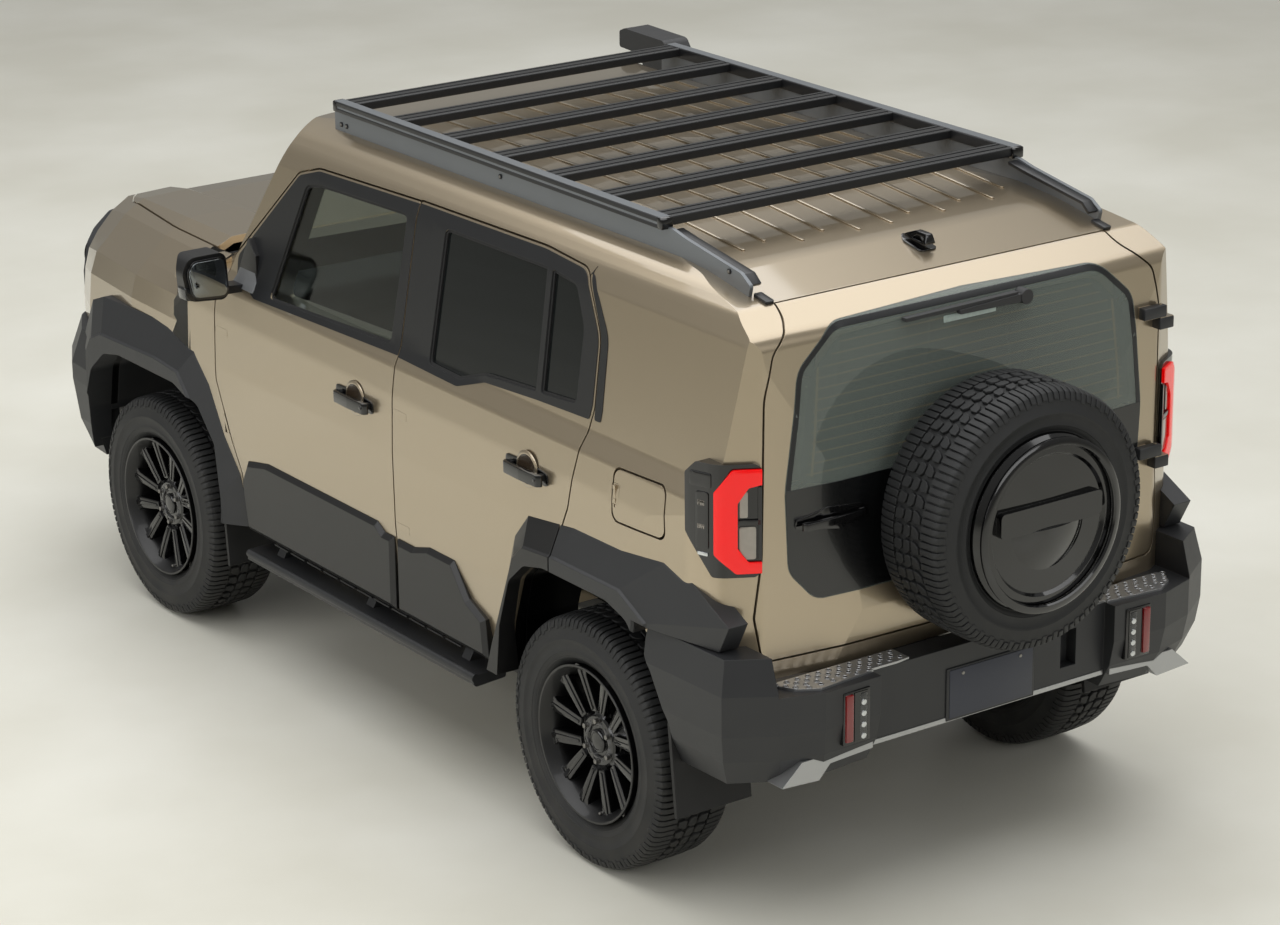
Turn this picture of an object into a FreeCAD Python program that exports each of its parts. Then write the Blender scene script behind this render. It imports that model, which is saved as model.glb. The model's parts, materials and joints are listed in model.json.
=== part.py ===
import FreeCAD, Part
import math
import os

# Lifted off-road 4x4. Millimetres, +Z up, the front faces -Y, the vehicle's left side is +X,
# and the origin lies on the ground under the middle of the whole length.

V = FreeCAD.Vector

# Driving dimensions of the whole vehicle
WHEELBASE = 2580.0
REAR_AXLE_Y = 1279.5
FRONT_AXLE_Y = REAR_AXLE_Y - WHEELBASE
TYRE_R = 387.5
TYRE_W = 265.0
RIM_R = 240.0
TRACK_HALF = 772.0
BODY_HALF = 883.0
SIDE_OUT = BODY_HALF + 117.0
FLARE_HALF = 927.5
FRONT_Y = -2287.5
SPARE_REAR_Y = 2287.5
SILL_Z = 455.0
BELT_Z = 1285.0
ROOF_Z = 1890.0
RACK_Z = 1960.0

# Walls, gaps and joints
WALL = 80.0
SKIN = 36.0
SHUT_GAP = 6.0
JAMB_GAP = 12.0
JAMB_STEP = 28.0
GLASS_T = 6.0
GLASS_SINK = 10.0
HINGE_LEAD = 58.0
HINGE_DEPTH = 12.0
SWING_GAP = 5.5
LIP_RELIEF = 24.0
PIN_R = 5.0
PIN_CLEAR = 0.3
SPINDLE_CLEAR = 0.3

# Cab shell lines
FIREWALL_Y = -1060.0
WING_JOINT_Y = -882.4
WING_T = 26.0
WING_LAP_X = BODY_HALF - 83.0
WING_LAP_Y = 4.0
LINER_T = 14.0
COWL_Y = -1155.0
COWL_Z = 1285.0
FLOOR_Z = 640.0
FLOOR_T = 40.0
LOAD_FLOOR_Z = 790.0
LOAD_STEP_Y = 780.0
TUNNEL_HALF = 640.0
BONNET_REAR_Y = -1172.0
NOSE_Y = -2150.0

# Side doors
FRONT_DOOR_Y = -876.0
B_GAP_Y = 225.0
DOOR_LOW_Z = 474.0

# Frame, running gear
RAIL_X = 400.0
RAIL_W = 70.0
RAIL_H = 120.0
HUB_X = 655.0


def plane_yz():
    """Placement that turns a flat (a, b) drawing into the Y-Z plane."""
    return FreeCAD.Placement(V(0, 0, 0), FreeCAD.Rotation(V(1, 1, 1), 120))


def plane_xz():
    """Placement that turns a flat (a, b) drawing into the X-Z plane, facing -Y."""
    return FreeCAD.Placement(V(0, 0, 0), FreeCAD.Rotation(V(1, 0, 0), 90))


def outline(corners):
    """Closed flat wire through (a, b) or (a, b, radius) corners, with tangent arcs."""
    count = len(corners)
    nodes = []
    for i, corner in enumerate(corners):
        p = V(corner[0], corner[1], 0)
        radius = corner[2] if len(corner) > 2 else 0
        if not radius:
            nodes.append((p,))
            continue
        before = V(*corners[i - 1][:2], 0) - p
        after = V(*corners[(i + 1) % count][:2], 0) - p
        room = 0.46 * min(before.Length, after.Length)
        before.normalize()
        after.normalize()
        half = before.getAngle(after) / 2
        if half > math.pi / 2 - 0.02:
            nodes.append((p,))
            continue
        run = min(radius / math.tan(half), room)
        radius = run * math.tan(half)
        bisector = (before + after).normalize()
        centre = p + bisector * (radius / math.sin(half))
        nodes.append((p + before * run, centre - bisector * radius, p + after * run))
    edges = []
    for i, node in enumerate(nodes):
        if len(node) == 3:
            edges.append(Part.Arc(*node).toShape())
        start = node[-1]
        end = nodes[(i + 1) % count][0]
        if start.distanceToPoint(end) > 0.001:
            edges.append(Part.makeLine(start, end))
    return Part.Wire(edges)


def prism(corners, placement, low, high):
    """Solid of a flat outline pushed from low to high along the plane's normal."""
    face = Part.Face(outline(corners))
    face.translate(V(0, 0, low))
    solid = face.extrude(V(0, 0, high - low))
    solid.Placement = placement.multiply(solid.Placement)
    return solid


def prism_x(corners, x0, x1):
    """Side-view (Y, Z) outline pushed along X."""
    return prism(corners, plane_yz(), x0, x1)


def prism_y(corners, y0, y1):
    """End-view (X, Z) outline pushed along Y."""
    return prism(corners, plane_xz(), -y1, -y0)


def prism_z(corners, z0, z1):
    """Top-view (X, Y) outline pushed along Z."""
    return prism(corners, FreeCAD.Placement(), z0, z1)


def box(x0, x1, y0, y1, z0, z1):
    """Box between two corners."""
    return Part.makeBox(x1 - x0, y1 - y0, z1 - z0, V(x0, y0, z0))


def rod(start, end, radius):
    """Round bar between two points."""
    start = V(*start)
    axis = V(*end) - start
    return Part.makeCylinder(radius, axis.Length, start, axis)


def grown(corners, amount):
    """Outline moved outwards by amount, with its corners kept sharp or round as they were."""
    count = len(corners)
    area = sum(corners[i - 1][0] * corners[i][1] - corners[i][0] * corners[i - 1][1] for i in range(count))
    sign = 1.0 if area > 0 else -1.0
    result = []
    for i in range(count):
        p0 = V(*corners[i - 1][:2], 0)
        p1 = V(*corners[i][:2], 0)
        p2 = V(*corners[(i + 1) % count][:2], 0)
        d1 = (p1 - p0).normalize()
        d2 = (p2 - p1).normalize()
        n1 = V(d1.y, -d1.x, 0) * sign
        n2 = V(d2.y, -d2.x, 0) * sign
        bisector = (n1 + n2).normalize()
        moved = p1 + bisector * (amount / max(0.35, bisector.dot(n1)))
        result.append((moved.x, moved.y) + tuple(corners[i][2:]))
    return result


def mirrored_half(half):
    """Whole outline from the corners of its +X half, listed from the top centre down."""
    left = [(-c[0],) + tuple(c[1:]) for c in reversed(half) if abs(c[0]) > 0.001]
    return list(half) + left


def flip(shape):
    """The same piece on the vehicle's other side."""
    return shape.mirror(V(0, 0, 0), V(1, 0, 0))


def fuse(shapes):
    """One shape from several, with leftover seams removed."""
    shape = shapes[0].multiFuse(shapes[1:]) if len(shapes) > 1 else shapes[0]
    return shape.removeSplitter()


def pair(shape):
    """A left piece and its mirror image, as solids that don't touch."""
    return Part.makeCompound(shape.Solids + flip(shape).Solids)


def loft(sections):
    """Faceted solid through closed wires that have the same number of corners."""
    return Part.makeLoft(sections, True, True)


def level(corners, z):
    """Closed top-view wire at a height, for lofts."""
    points = [V(c[0], c[1], z) for c in corners]
    return Part.makePolygon(points + [points[0]])


def station(corners, y):
    """Closed end-view wire at a length, for lofts."""
    points = [V(c[0], y, c[1]) for c in corners]
    return Part.makePolygon(points + [points[0]])


def side_wire(corners, x):
    """Closed side-view wire at a width, for lofts."""
    points = [V(x, c[0], c[1]) for c in corners]
    return Part.makePolygon(points + [points[0]])


# Cab form: what three views share

CAB_SIDE = [
    (FIREWALL_Y, SILL_Z), (FIREWALL_Y, 1232.0), (COWL_Y, 1240.0), (COWL_Y, COWL_Z),
    (-690.0, 1856.0, 190.0), (-380.0, 1879.0, 900.0), (350.0, ROOF_Z, 2500.0), (1150.0, 1880.0, 1400.0),
    (1560.0, 1846.0, 600.0), (1800.0, 1803.0, 60.0), (1908.0, 1740.0, 60.0),
    (1934.0, 1290.0), (1940.0, 900.0), (1925.0, 620.0), (1760.0, 600.0), (1700.0, SILL_Z),
]
CAB_SECTION_HALF = [
    (0.0, ROOF_Z), (300.0, ROOF_Z - 3), (560.0, ROOF_Z - 16), (640.0, ROOF_Z - 28, 200.0),
    (BODY_HALF - 178, ROOF_Z - 58, 90.0), (BODY_HALF - 138, ROOF_Z - 100, 90.0), (BODY_HALF - 115, ROOF_Z - 160, 60.0),
    (BODY_HALF - 45, 1330.0, 60.0), (BODY_HALF - 19, BELT_Z - 10, 60.0), (BODY_HALF - 6, 1180.0, 200.0),
    (BODY_HALF, 1000.0, 300.0), (BODY_HALF - 3, 760.0, 300.0), (BODY_HALF - 15, 600.0, 100.0), (BODY_HALF - 38, SILL_Z),
]
CAB_PLAN_HALF = [
    (0.0, 1952.0), (400.0, 1940.0), (BODY_HALF - 153, 1912.0, 60.0), (BODY_HALF - 45, 1850.0, 80.0),
    (BODY_HALF - 13, 1755.0, 200.0), (BODY_HALF + 12, 1100.0, 300.0), (BODY_HALF + 12, -1300.0),
]
SCREEN_PLAN_HALF = [
    (0.0, -1170.0), (400.0, -1140.0, 500.0), (640.0, -1062.0, 300.0), (765.0, -968.0, 120.0),
    (900.0, -790.0), (1100.0, -790.0), (1100.0, -1700.0),
]
SCREEN_RUN = (COWL_Y + 690.0) / (COWL_Z - 1856.0)


def cab_form(depth):
    """The cab as a solid, every outside surface moved inwards by depth."""
    side_view = CAB_SIDE
    if depth > GLASS_SINK + GLASS_T:
        shelf_end = FIREWALL_Y, COWL_Z + (FIREWALL_Y - COWL_Y) / SCREEN_RUN
        side_view = [CAB_SIDE[0], shelf_end] + CAB_SIDE[4:]
    side = prism_x(grown(side_view, -depth), -SIDE_OUT, SIDE_OUT)
    section = prism_y(grown(mirrored_half(CAB_SECTION_HALF), -depth), -1400, 2100)
    plan = prism_z(grown(mirrored_half(CAB_PLAN_HALF), -depth), 300, 2000)
    form = side.common(section).common(plan)
    setback = depth * math.hypot(1.0, SCREEN_RUN)
    ahead = [(c[0], c[1] + setback) + tuple(c[2:]) for c in mirrored_half(SCREEN_PLAN_HALF)]
    face = Part.Face(outline(ahead))
    low = COWL_Z - depth
    face.translate(V(0, SCREEN_RUN * depth * -1.0, low))
    rise = 700.0
    return form.cut(face.extrude(V(0, rise * SCREEN_RUN, rise)))


def between_sides(depth):
    """Everything between the two side walls, whose outside surfaces lie further out by depth."""
    half = CAB_SECTION_HALF[:-1] + [(CAB_SECTION_HALF[-1][0], 0.0)]
    return prism_y(grown(mirrored_half(half), -depth), -1400, 2100)


CAB = cab_form(0.0)
CAB_SKIN = cab_form(SKIN)
CAB_JAMB = cab_form(SKIN + SHUT_GAP)
CAB_CORE = cab_form(WALL)
CAB_CORE_JAMB = cab_form(WALL + JAMB_GAP)
GLASS_OUT = cab_form(GLASS_SINK)
GLASS_IN = cab_form(GLASS_SINK + GLASS_T)
WING_IN = cab_form(WING_T)


# Side views of the doors and windows (Y, Z)

ARCH_REAR = [
    (REAR_AXLE_Y - 430, 420.0), (REAR_AXLE_Y - 405, 640.0, 60.0), (REAR_AXLE_Y - 350, 800.0, 60.0),
    (REAR_AXLE_Y - 270, 870.0, 50.0), (REAR_AXLE_Y - 170, 893.0, 60.0), (REAR_AXLE_Y + 150, 893.0, 60.0),
    (REAR_AXLE_Y + 250, 862.0, 60.0), (REAR_AXLE_Y + 350, 740.0, 60.0), (REAR_AXLE_Y + 430, 600.0, 60.0),
    (REAR_AXLE_Y + 450, 420.0),
]
ARCH_FRONT = [
    (FRONT_AXLE_Y - 490, 400.0), (FRONT_AXLE_Y - 470, 620.0, 60.0), (FRONT_AXLE_Y - 400, 790.0, 60.0),
    (FRONT_AXLE_Y - 300, 870.0, 60.0), (FRONT_AXLE_Y - 190, 893.0, 60.0), (FRONT_AXLE_Y + 200, 893.0, 60.0),
    (FRONT_AXLE_Y + 330, 850.0, 60.0), (FRONT_AXLE_Y + 420, 730.0, 60.0), (FRONT_AXLE_Y + 475, 560.0, 60.0),
    (FRONT_AXLE_Y + 490, 400.0),
]
FRONT_DOOR = [
    (FRONT_DOOR_Y, 1236.0, 20.0), (FRONT_DOOR_Y, 952.0, 30.0), (-748.0, 660.0, 60.0), (-728.0, DOOR_LOW_Z, 20.0),
    (B_GAP_Y - SHUT_GAP / 2, DOOR_LOW_Z, 15.0), (B_GAP_Y - SHUT_GAP / 2, 1776.0, 8.0),
    (-360.0, 1758.0, 90.0), (-470.0, 1726.0, 60.0), (-800.0, 1392.0, 60.0),
]
REAR_DOOR = [
    (B_GAP_Y + SHUT_GAP / 2, DOOR_LOW_Z, 15.0), (740.0, DOOR_LOW_Z, 20.0),
    (REAR_AXLE_Y - 428, DOOR_LOW_Z + 8), (REAR_AXLE_Y - 405, 640.0, 60.0), (REAR_AXLE_Y - 350, 800.0, 60.0),
    (REAR_AXLE_Y - 270, 870.0, 50.0), (REAR_AXLE_Y - 160, 893.0, 20.0), (1136.0, 1000.0, 60.0),
    (1175.0, 1090.0, 60.0), (1242.0, 1400.0, 60.0), (1228.0, 1600.0, 120.0), (1120.0, 1772.0, 60.0),
    (900.0, 1786.0, 500.0), (B_GAP_Y + SHUT_GAP / 2, 1778.0, 8.0),
]
FRONT_WINDOW = [
    (-566.0, 1300.0, 25.0), (-420.0, 1700.0, 40.0), (-330.0, 1716.0, 80.0), (176.0, 1732.0, 25.0),
    (168.0, 1326.0, 25.0),
]
REAR_WINDOW = [
    (385.0, 1318.0, 25.0), (388.0, 1734.0, 25.0), (935.0, 1738.0, 12.0), (955.0, 1374.0, 12.0),
    (690.0, 1356.0, 60.0), (560.0, 1314.0, 60.0),
]
QUARTER_WINDOW = [
    (977.0, 1375.0, 12.0), (957.0, 1738.0, 12.0), (1085.0, 1724.0, 40.0), (1150.0, 1610.0, 120.0),
    (1158.0, 1388.0, 25.0),
]
BACK_DOOR_HALF = [
    (0.0, 1900.0), (600.0, 1900.0), (604.0, 1780.0, 60.0), (694.0, 1700.0, 60.0), (725.0, 1578.0, 200.0),
    (731.0, 1115.0, 300.0), (750.0, 942.0, 60.0), (730.0, 812.0, 40.0), (0.0, 800.0),
]
BACK_DOOR_TOP_Y = 1798.0
BACK_GLASS_HALF = [
    (0.0, 1762.0), (490.0, 1752.0, 110.0), (618.0, 1640.0, 90.0), (662.0, 1298.0, 300.0),
    (650.0, 1060.0, 80.0), (560.0, 962.0, 80.0), (0.0, 962.0),
]
BACK_OPENING_HALF = [
    (0.0, 1722.0), (470.0, 1712.0, 90.0), (578.0, 1610.0, 80.0), (615.0, 1310.0, 30.0), (0.0, 1310.0),
]
FUEL_FLAP = [(1398.0, 1270.0, 30.0), (1640.0, 1278.0, 30.0), (1645.0, 1128.0, 30.0), (1402.0, 1120.0, 30.0)]
FUEL_T = 20.0
FUEL_POCKET = 62.0


def hinge_frame(origin, outward, along):
    """Placement with local x outwards through the skin, local y along the leaf and z along the pin."""
    x = V(*outward)
    y = V(*along)
    z = x.cross(y)
    matrix = FreeCAD.Matrix(
        x.x, y.x, z.x, origin[0],
        x.y, y.y, z.y, origin[1],
        x.z, y.z, z.z, origin[2],
        0, 0, 0, 1)
    return FreeCAD.Placement(matrix)


def hinge(origin, outward, along, lead, reach):
    """Gooseneck leaf with its pin, the pocket that it needs in the leaf's panel, and the pin's bore."""
    back = HINGE_LEAD + 8.0
    neck = prism_z([
        (-back - 13, -lead - reach), (-back + 13, -lead - reach), (-back + 13, -7.0, 18.0),
        (0.0, -7.0), (0.0, 7.0), (-back - 13, 7.0, 26.0),
    ], -5, 5)
    leaf = fuse([neck, Part.makeCylinder(8.0, 10.0, V(0, 0, -5)), Part.makeCylinder(PIN_R, 60.0, V(0, 0, -30))])
    pocket = box(-WALL - 60, 9.0, -lead - 4.0, 15.0, -9, 9)
    bore = Part.makeCylinder(PIN_R + PIN_CLEAR, 64.0, V(0, 0, -32))
    frame = hinge_frame(origin, outward, along)
    return [placed(piece, frame) for piece in (leaf, pocket, bore)]


def placed(shape, placement):
    """The shape moved by a placement."""
    moved = shape.copy()
    moved.Placement = placement.multiply(moved.Placement)
    return moved


def slab(panel, inset_panel):
    """Part of the cab wall inside two prisms: the skin, and the narrower depth behind it."""
    skin = CAB.common(panel).cut(CAB_SKIN)
    depth = CAB_SKIN.common(inset_panel).cut(CAB_CORE)
    return skin, depth


def door_cut(corners):
    """What a side door's opening takes out of the left cab wall."""
    skin = prism_x(grown(corners, SHUT_GAP), 500, SIDE_OUT).cut(CAB_JAMB)
    depth = prism_x(grown(corners, JAMB_GAP - JAMB_STEP), 500, SIDE_OUT).cut(CAB_CORE_JAMB)
    return [skin.cut(between_sides(SKIN + SHUT_GAP)), depth.cut(between_sides(WALL + JAMB_GAP))]


DOOR_HINGE_Z = (760.0, 1130.0)
FRONT_HINGE = (BODY_HALF - HINGE_DEPTH, FRONT_DOOR_Y + HINGE_LEAD)
REAR_HINGE = (BODY_HALF - HINGE_DEPTH, B_GAP_Y + SHUT_GAP / 2 + HINGE_LEAD)


def lip_room(hinge_xy, low, high):
    """Round room in a pillar for the door's front lip, which swings in as the door opens."""
    radius = math.hypot(HINGE_LEAD, SKIN + 2.0) + SWING_GAP
    return rod((hinge_xy[0], hinge_xy[1], low), (hinge_xy[0], hinge_xy[1], high), radius).common(CAB_JAMB)


def pillar_relief(corners, hinge_y):
    """Room behind the rear door's front lip, whose top and bottom lean in and so swing in further."""
    strip = prism_x(grown(corners, SHUT_GAP), 500, SIDE_OUT).common(box(500, SIDE_OUT, -1000, hinge_y + 26, 300, 2000))
    return strip.common(between_sides(SKIN + SHUT_GAP)).cut(between_sides(SKIN + SHUT_GAP + LIP_RELIEF))


def side_door(corners, windows, hinge_xy, reach):
    """Left side door: its slab with windows cut, its panes, and the body's hinge leaves."""
    skin, depth = slab(prism_x(corners, 500, SIDE_OUT), prism_x(grown(corners, -JAMB_STEP), 500, SIDE_OUT))
    panel = fuse([skin.cut(between_sides(SKIN)), depth.cut(between_sides(WALL))])
    glass_shell = GLASS_OUT.cut(GLASS_IN)
    panes = []
    for window in windows:
        hole = prism_x(window, 500, SIDE_OUT)
        panel = panel.cut(hole)
        panes.append(glass_shell.common(hole))
    leaves = []
    for z in DOOR_HINGE_Z:
        leaf, pocket, bore = hinge((hinge_xy[0], hinge_xy[1], z), (1, 0, 0), (0, 1, 0), HINGE_LEAD, reach)
        panel = panel.cut(pocket).cut(bore)
        leaves.append(leaf)
    return panel.removeSplitter(), Part.makeCompound([s for p in panes for s in p.Solids]), leaves


def floor_line(depth):
    """Side view of what lies under the floor, down past the sills."""
    return [
        (-1500.0, 200.0), (-1500.0, FLOOR_Z - depth), (LOAD_STEP_Y, FLOOR_Z - depth),
        (LOAD_STEP_Y, LOAD_FLOOR_Z - depth), (2100.0, LOAD_FLOOR_Z - depth), (2100.0, 200.0),
    ]


def body_shell(leaves, back_leaves, flap_leaf):
    """Hollow cab with sills, floors, pillars, roof and wheelhouses."""
    above_floor = box(-SIDE_OUT, SIDE_OUT, -1400, 2100, FLOOR_Z, 2000).cut(prism_x(floor_line(0.0), -SIDE_OUT, SIDE_OUT))
    hollow = CAB_CORE.common(above_floor)
    for arch_line, inner_x in ((ARCH_REAR, 560), (ARCH_FRONT, 405)):
        wheelhouse = prism_x(grown(arch_line, 36.0), inner_x, SIDE_OUT)
        hollow = hollow.cut(wheelhouse).cut(flip(wheelhouse))
    shell = CAB.cut(hollow)
    under = prism_x(floor_line(FLOOR_T), -TUNNEL_HALF, TUNNEL_HALF)
    arch = prism_x(ARCH_REAR, 582, SIDE_OUT)
    shell = shell.cut(under)
    front_arch = prism_x(grown(ARCH_FRONT, LINER_T), 425, SIDE_OUT)
    rooms = [lip_room(FRONT_HINGE, 780.0, BELT_Z), lip_room(REAR_HINGE, DOOR_LOW_Z - SHUT_GAP, BELT_Z),
             pillar_relief(REAR_DOOR, REAR_HINGE[1]),
             rod((*FRONT_HINGE, 780.0), (*FRONT_HINGE, 850.0), 2 * HINGE_DEPTH - 3.0)]
    for cutter in [arch, front_arch] + door_cut(FRONT_DOOR) + door_cut(REAR_DOOR) + rooms:
        shell = shell.cut(cutter).cut(flip(cutter))
    shell = shell.cut(prism_x(grown(FUEL_FLAP, SHUT_GAP), BODY_HALF - FUEL_POCKET, SIDE_OUT))
    back = back_door_prism(SHUT_GAP, BACK_DOOR_TOP_Y - SHUT_GAP).cut(CAB_JAMB)
    back_depth = back_door_prism(JAMB_GAP - JAMB_STEP, BACK_DOOR_TOP_Y + JAMB_STEP - JAMB_GAP).cut(CAB_CORE_JAMB)
    shell = shell.cut(back).cut(back_depth)
    corner_room = rod((*BACK_HINGE, 800.0), (*BACK_HINGE, 1700.0), WALL + 4.0 + SWING_GAP)
    shell = shell.cut(corner_room.common(CAB_JAMB))
    lower_side = pair(box(WING_LAP_X, SIDE_OUT, FIREWALL_Y - 5, WING_JOINT_Y, 300, BELT_Z - 28))
    shell = shell.cut(lower_side.cut(WING_IN))
    screen = prism_y(mirrored_half(SCREEN_HALF), -1300, -430)
    shell = shell.cut(screen)
    return fuse([shell] + leaves + back_leaves + [flap_leaf])


SCREEN_HALF = [(0.0, 1812.0), (520.0, 1800.0, 70.0), (590.0, 1740.0, 50.0), (690.0, 1345.0, 50.0), (0.0, 1330.0)]


def windscreen():
    """Front glass, seated in its opening."""
    hole = prism_y(mirrored_half(SCREEN_HALF), -1300, -430)
    return GLASS_OUT.cut(GLASS_IN).common(hole)


def back_door_prism(amount, top_y):
    """Everything behind the back door's outline."""
    profile = prism_y(grown(mirrored_half(BACK_DOOR_HALF), amount), 1500, 2100)
    return profile.common(box(-1000, 1000, top_y, 2100, 700, 2000))


BACK_HINGE = (-712.0, 1934.0)
BACK_HINGE_Z = (1130.0, 1560.0)


def back_door():
    """Side-hinged back door with its window cut, its one-piece outer pane, and its hinges."""
    panel = fuse(slab(back_door_prism(0.0, BACK_DOOR_TOP_Y),
                      back_door_prism(-JAMB_STEP, BACK_DOOR_TOP_Y + JAMB_STEP)))
    recess = prism_y(mirrored_half(BACK_GLASS_HALF), 1780, 2100)
    pane = CAB.common(recess).cut(cab_form(GLASS_T))
    panel = panel.cut(pane)
    panel = panel.cut(prism_y(mirrored_half(BACK_OPENING_HALF), 1700, 2100))
    leaves = []
    straps = []
    for z in BACK_HINGE_Z:
        leaves.append(back_hinge_leaf(z))
        straps.append(back_hinge_strap(z))
    return fuse([panel] + straps), pane, leaves


def back_hinge_leaf(z):
    """Body half of an outside hinge: a block on the corner panel with the pin standing up from it."""
    x, y = BACK_HINGE
    block = box(x - 42, x + 9, y - 60, y + 12, z - 40, z - 5)
    block = block.cut(box(x - 20, x + 20, y - 60, y - 12, z - 50, z + 50))
    return fuse([block.cut(CAB), rod((x, y, z - 10), (x, y, z + 34), PIN_R)])


def back_hinge_strap(z):
    """Door half of an outside hinge: an eye round the pin and a strap to the door."""
    x, y = BACK_HINGE
    eye = Part.makeCylinder(12.0, 35.0, V(x, y, z - 4.7))
    strap = box(x, x + 70, y - 12, y + 10, z - 4.7, z + 30.3)
    strap = fuse([eye, strap, box(x + 24, x + 70, y - 60, y, z - 4.7, z + 30.3)]).cut(CAB)
    return strap.cut(rod((x, y, z - 20), (x, y, z + 60), PIN_R + PIN_CLEAR))


# Fuel flap

FUEL_HINGE = (BODY_HALF - 8.0, FUEL_FLAP[0][0] + 12.0, 1198.0)


def fuel_flap():
    """Small flap in the left quarter with a pin hinge at its front edge."""
    thin = CAB.cut(cab_form(FUEL_T))
    flap = thin.common(prism_x(FUEL_FLAP, 700, SIDE_OUT))
    x, y, z = FUEL_HINGE
    eye = fuse([box(x - 5, x + 7, y - 5, y + 5, z - 12, z + 12), rod((x, y, z - 12), (x, y, z + 12), 5.0)])
    eye = eye.common(CAB)
    bore = rod((x, y, z - 40), (x, y, z + 40), 3.0 + PIN_CLEAR)
    flap = fuse([flap, eye]).cut(bore)
    pin = rod((x, y, z - 26), (x, y, z + 26), 3.0)
    ears = [box(BODY_HALF - FUEL_POCKET - 2, x + 4, y - 5, y + 5, z + s * 20 - 6, z + s * 20 + 6) for s in (-1, 1)]
    rooms = [box(x - 50, x + 6, y - 14, y + 10, z + low, z + low + 18) for low in (-31, 13)]
    return flap.cut(fuse(rooms)), fuse([pin] + ears)


# Front end

FRONT_STATIONS = [
    (FIREWALL_Y - 2, [(0, 1322), (380, 1322), (430, 1345), (640, 1340), (745, 1292), (825, 1220), (862, 1170),
                      (877, 1090), (883, 960), (880, 760), (866, 600)]),
    (-1500.0, [(0, 1312), (370, 1312), (420, 1335), (620, 1330), (712, 1282), (792, 1205), (835, 1162),
               (857, 1085), (864, 955), (862, 760), (850, 600)]),
    (-1900.0, [(0, 1290), (350, 1290), (400, 1312), (580, 1306), (655, 1262), (727, 1190), (776, 1146),
               (803, 1070), (815, 950), (815, 760), (805, 600)]),
    (-2070.0, [(0, 1262), (330, 1262), (380, 1280), (550, 1274), (618, 1232), (680, 1168), (718, 1112),
               (738, 1045), (748, 950), (748, 760), (740, 600)]),
    (-2140.0, [(0, 1222), (310, 1222), (360, 1235), (530, 1230), (585, 1192), (640, 1132), (672, 1082),
               (690, 1030), (698, 950), (698, 760), (690, 600)]),
]
WING_WALL = 26.0
WING_LOW_Z = 620.0


def front_form(depth, low):
    """The front body as a solid, moved inwards by depth and reaching down to low."""
    wires = []
    for y, half in FRONT_STATIONS:
        whole = mirrored_half([(float(a), float(b)) for a, b in half] + [(half[-1][0], low), (0.0, low)])
        if depth:
            whole = grown(whole, -depth)
        wires.append(station(whole, y))
    return loft(wires)


BONNET_PLAN_HALF = [
    (0.0, -2104.0), (500.0, -2092.0, 60.0), (590.0, -1960.0, 200.0), (668.0, -1500.0, 600.0),
    (690.0, BONNET_REAR_Y, 10.0), (0.0, BONNET_REAR_Y),
]
BONNET_HINGE = (BONNET_REAR_Y - 90.0, 1300.0)
BONNET_ARM_Z = (1205.0, 1232.0)
BONNET_HINGE_X = (470.0, -470.0)


def bonnet_and_wings():
    """Front shell split at the real shut lines into the bonnet and the two wings."""
    outer = front_form(0.0, WING_LOW_Z)
    shell = outer.cut(front_form(WING_WALL, WING_LOW_Z - 200))
    lid = prism_z(mirrored_half(BONNET_PLAN_HALF), 1100, 1500)
    lid_gap = prism_z(grown(mirrored_half(BONNET_PLAN_HALF), SHUT_GAP), 1100, 1500)
    bonnet = shell.common(lid)
    cowl = box(-700, 700, BONNET_REAR_Y - 20, FIREWALL_Y + 10, 1100, 1500)
    nose = box(-900, 900, -2300, NOSE_PANEL_Y, 300, 1500)
    wings = shell.cut(lid_gap).cut(cowl).cut(nose).cut(box(-380, 380, -2300, -1000, 300, 1500))
    arch = prism_x(ARCH_FRONT, 400, SIDE_OUT)
    rear_part = CAB.cut(WING_IN).common(box(WING_LAP_X, SIDE_OUT, FIREWALL_Y - WING_LAP_Y, WING_JOINT_Y, DOOR_LOW_Z, BELT_Z - 28))
    left = wings.common(box(300, SIDE_OUT, -2300, FIREWALL_Y - 2, 300, 1500))
    left = left.cut(CAB).cut(box(300, SIDE_OUT, -2300, FRONT_AXLE_Y - 480, 300, BUMPER_TOP_Z + SHUT_GAP))
    left = fuse([left, rear_part]).cut(arch)
    left = max(left.Solids, key=lambda s: s.Volume)
    return bonnet, left


NOSE_PANEL_Y = -2074.0
BUMPER_TOP_Z = 872.0


def bonnet_hinged(bonnet):
    """Bonnet with its rear hinge eyes, and the pins that stand on the cowl."""
    y, z = BONNET_HINGE
    arm_low, arm_top = BONNET_ARM_Z
    pins = []
    for x in BONNET_HINGE_X:
        eye = fuse([rod((x - 15, y, z), (x + 15, y, z), 12.0), box(x - 15, x + 15, y - 12, y + 12, z, z + 28)])
        bonnet = fuse([bonnet, eye]).cut(rod((x - 20, y, z), (x + 20, y, z), PIN_R + PIN_CLEAR))
        arm = prism_x([(y - 7, z + 8), (y + 7, z + 8), (y + 7, arm_top), (FIREWALL_Y + 2, arm_top),
                       (FIREWALL_Y + 2, arm_low), (y - 7, arm_low)], x + 16, x + 26)
        pins.append(fuse([arm.cut(CAB), rod((x - 20, y, z), (x + 26, y, z), PIN_R)]))
    return bonnet, pins


MASK_HALF = [
    (0.0, 1196.0), (560.0, 1192.0, 30.0), (700.0, 1112.0, 40.0), (734.0, 1020.0, 30.0), (734.0, 900.0, 30.0),
    (0.0, 880.0),
]
MASK_PLAN = [(0.0, -2232.0), (520.0, -2222.0, 80.0), (640.0, -2180.0, 80.0), (738.0, -2090.0, 40.0),
             (738.0, NOSE_PANEL_Y), (0.0, NOSE_PANEL_Y)]
LAMP_X = 585.0
LAMP_Z = 1040.0


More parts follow.
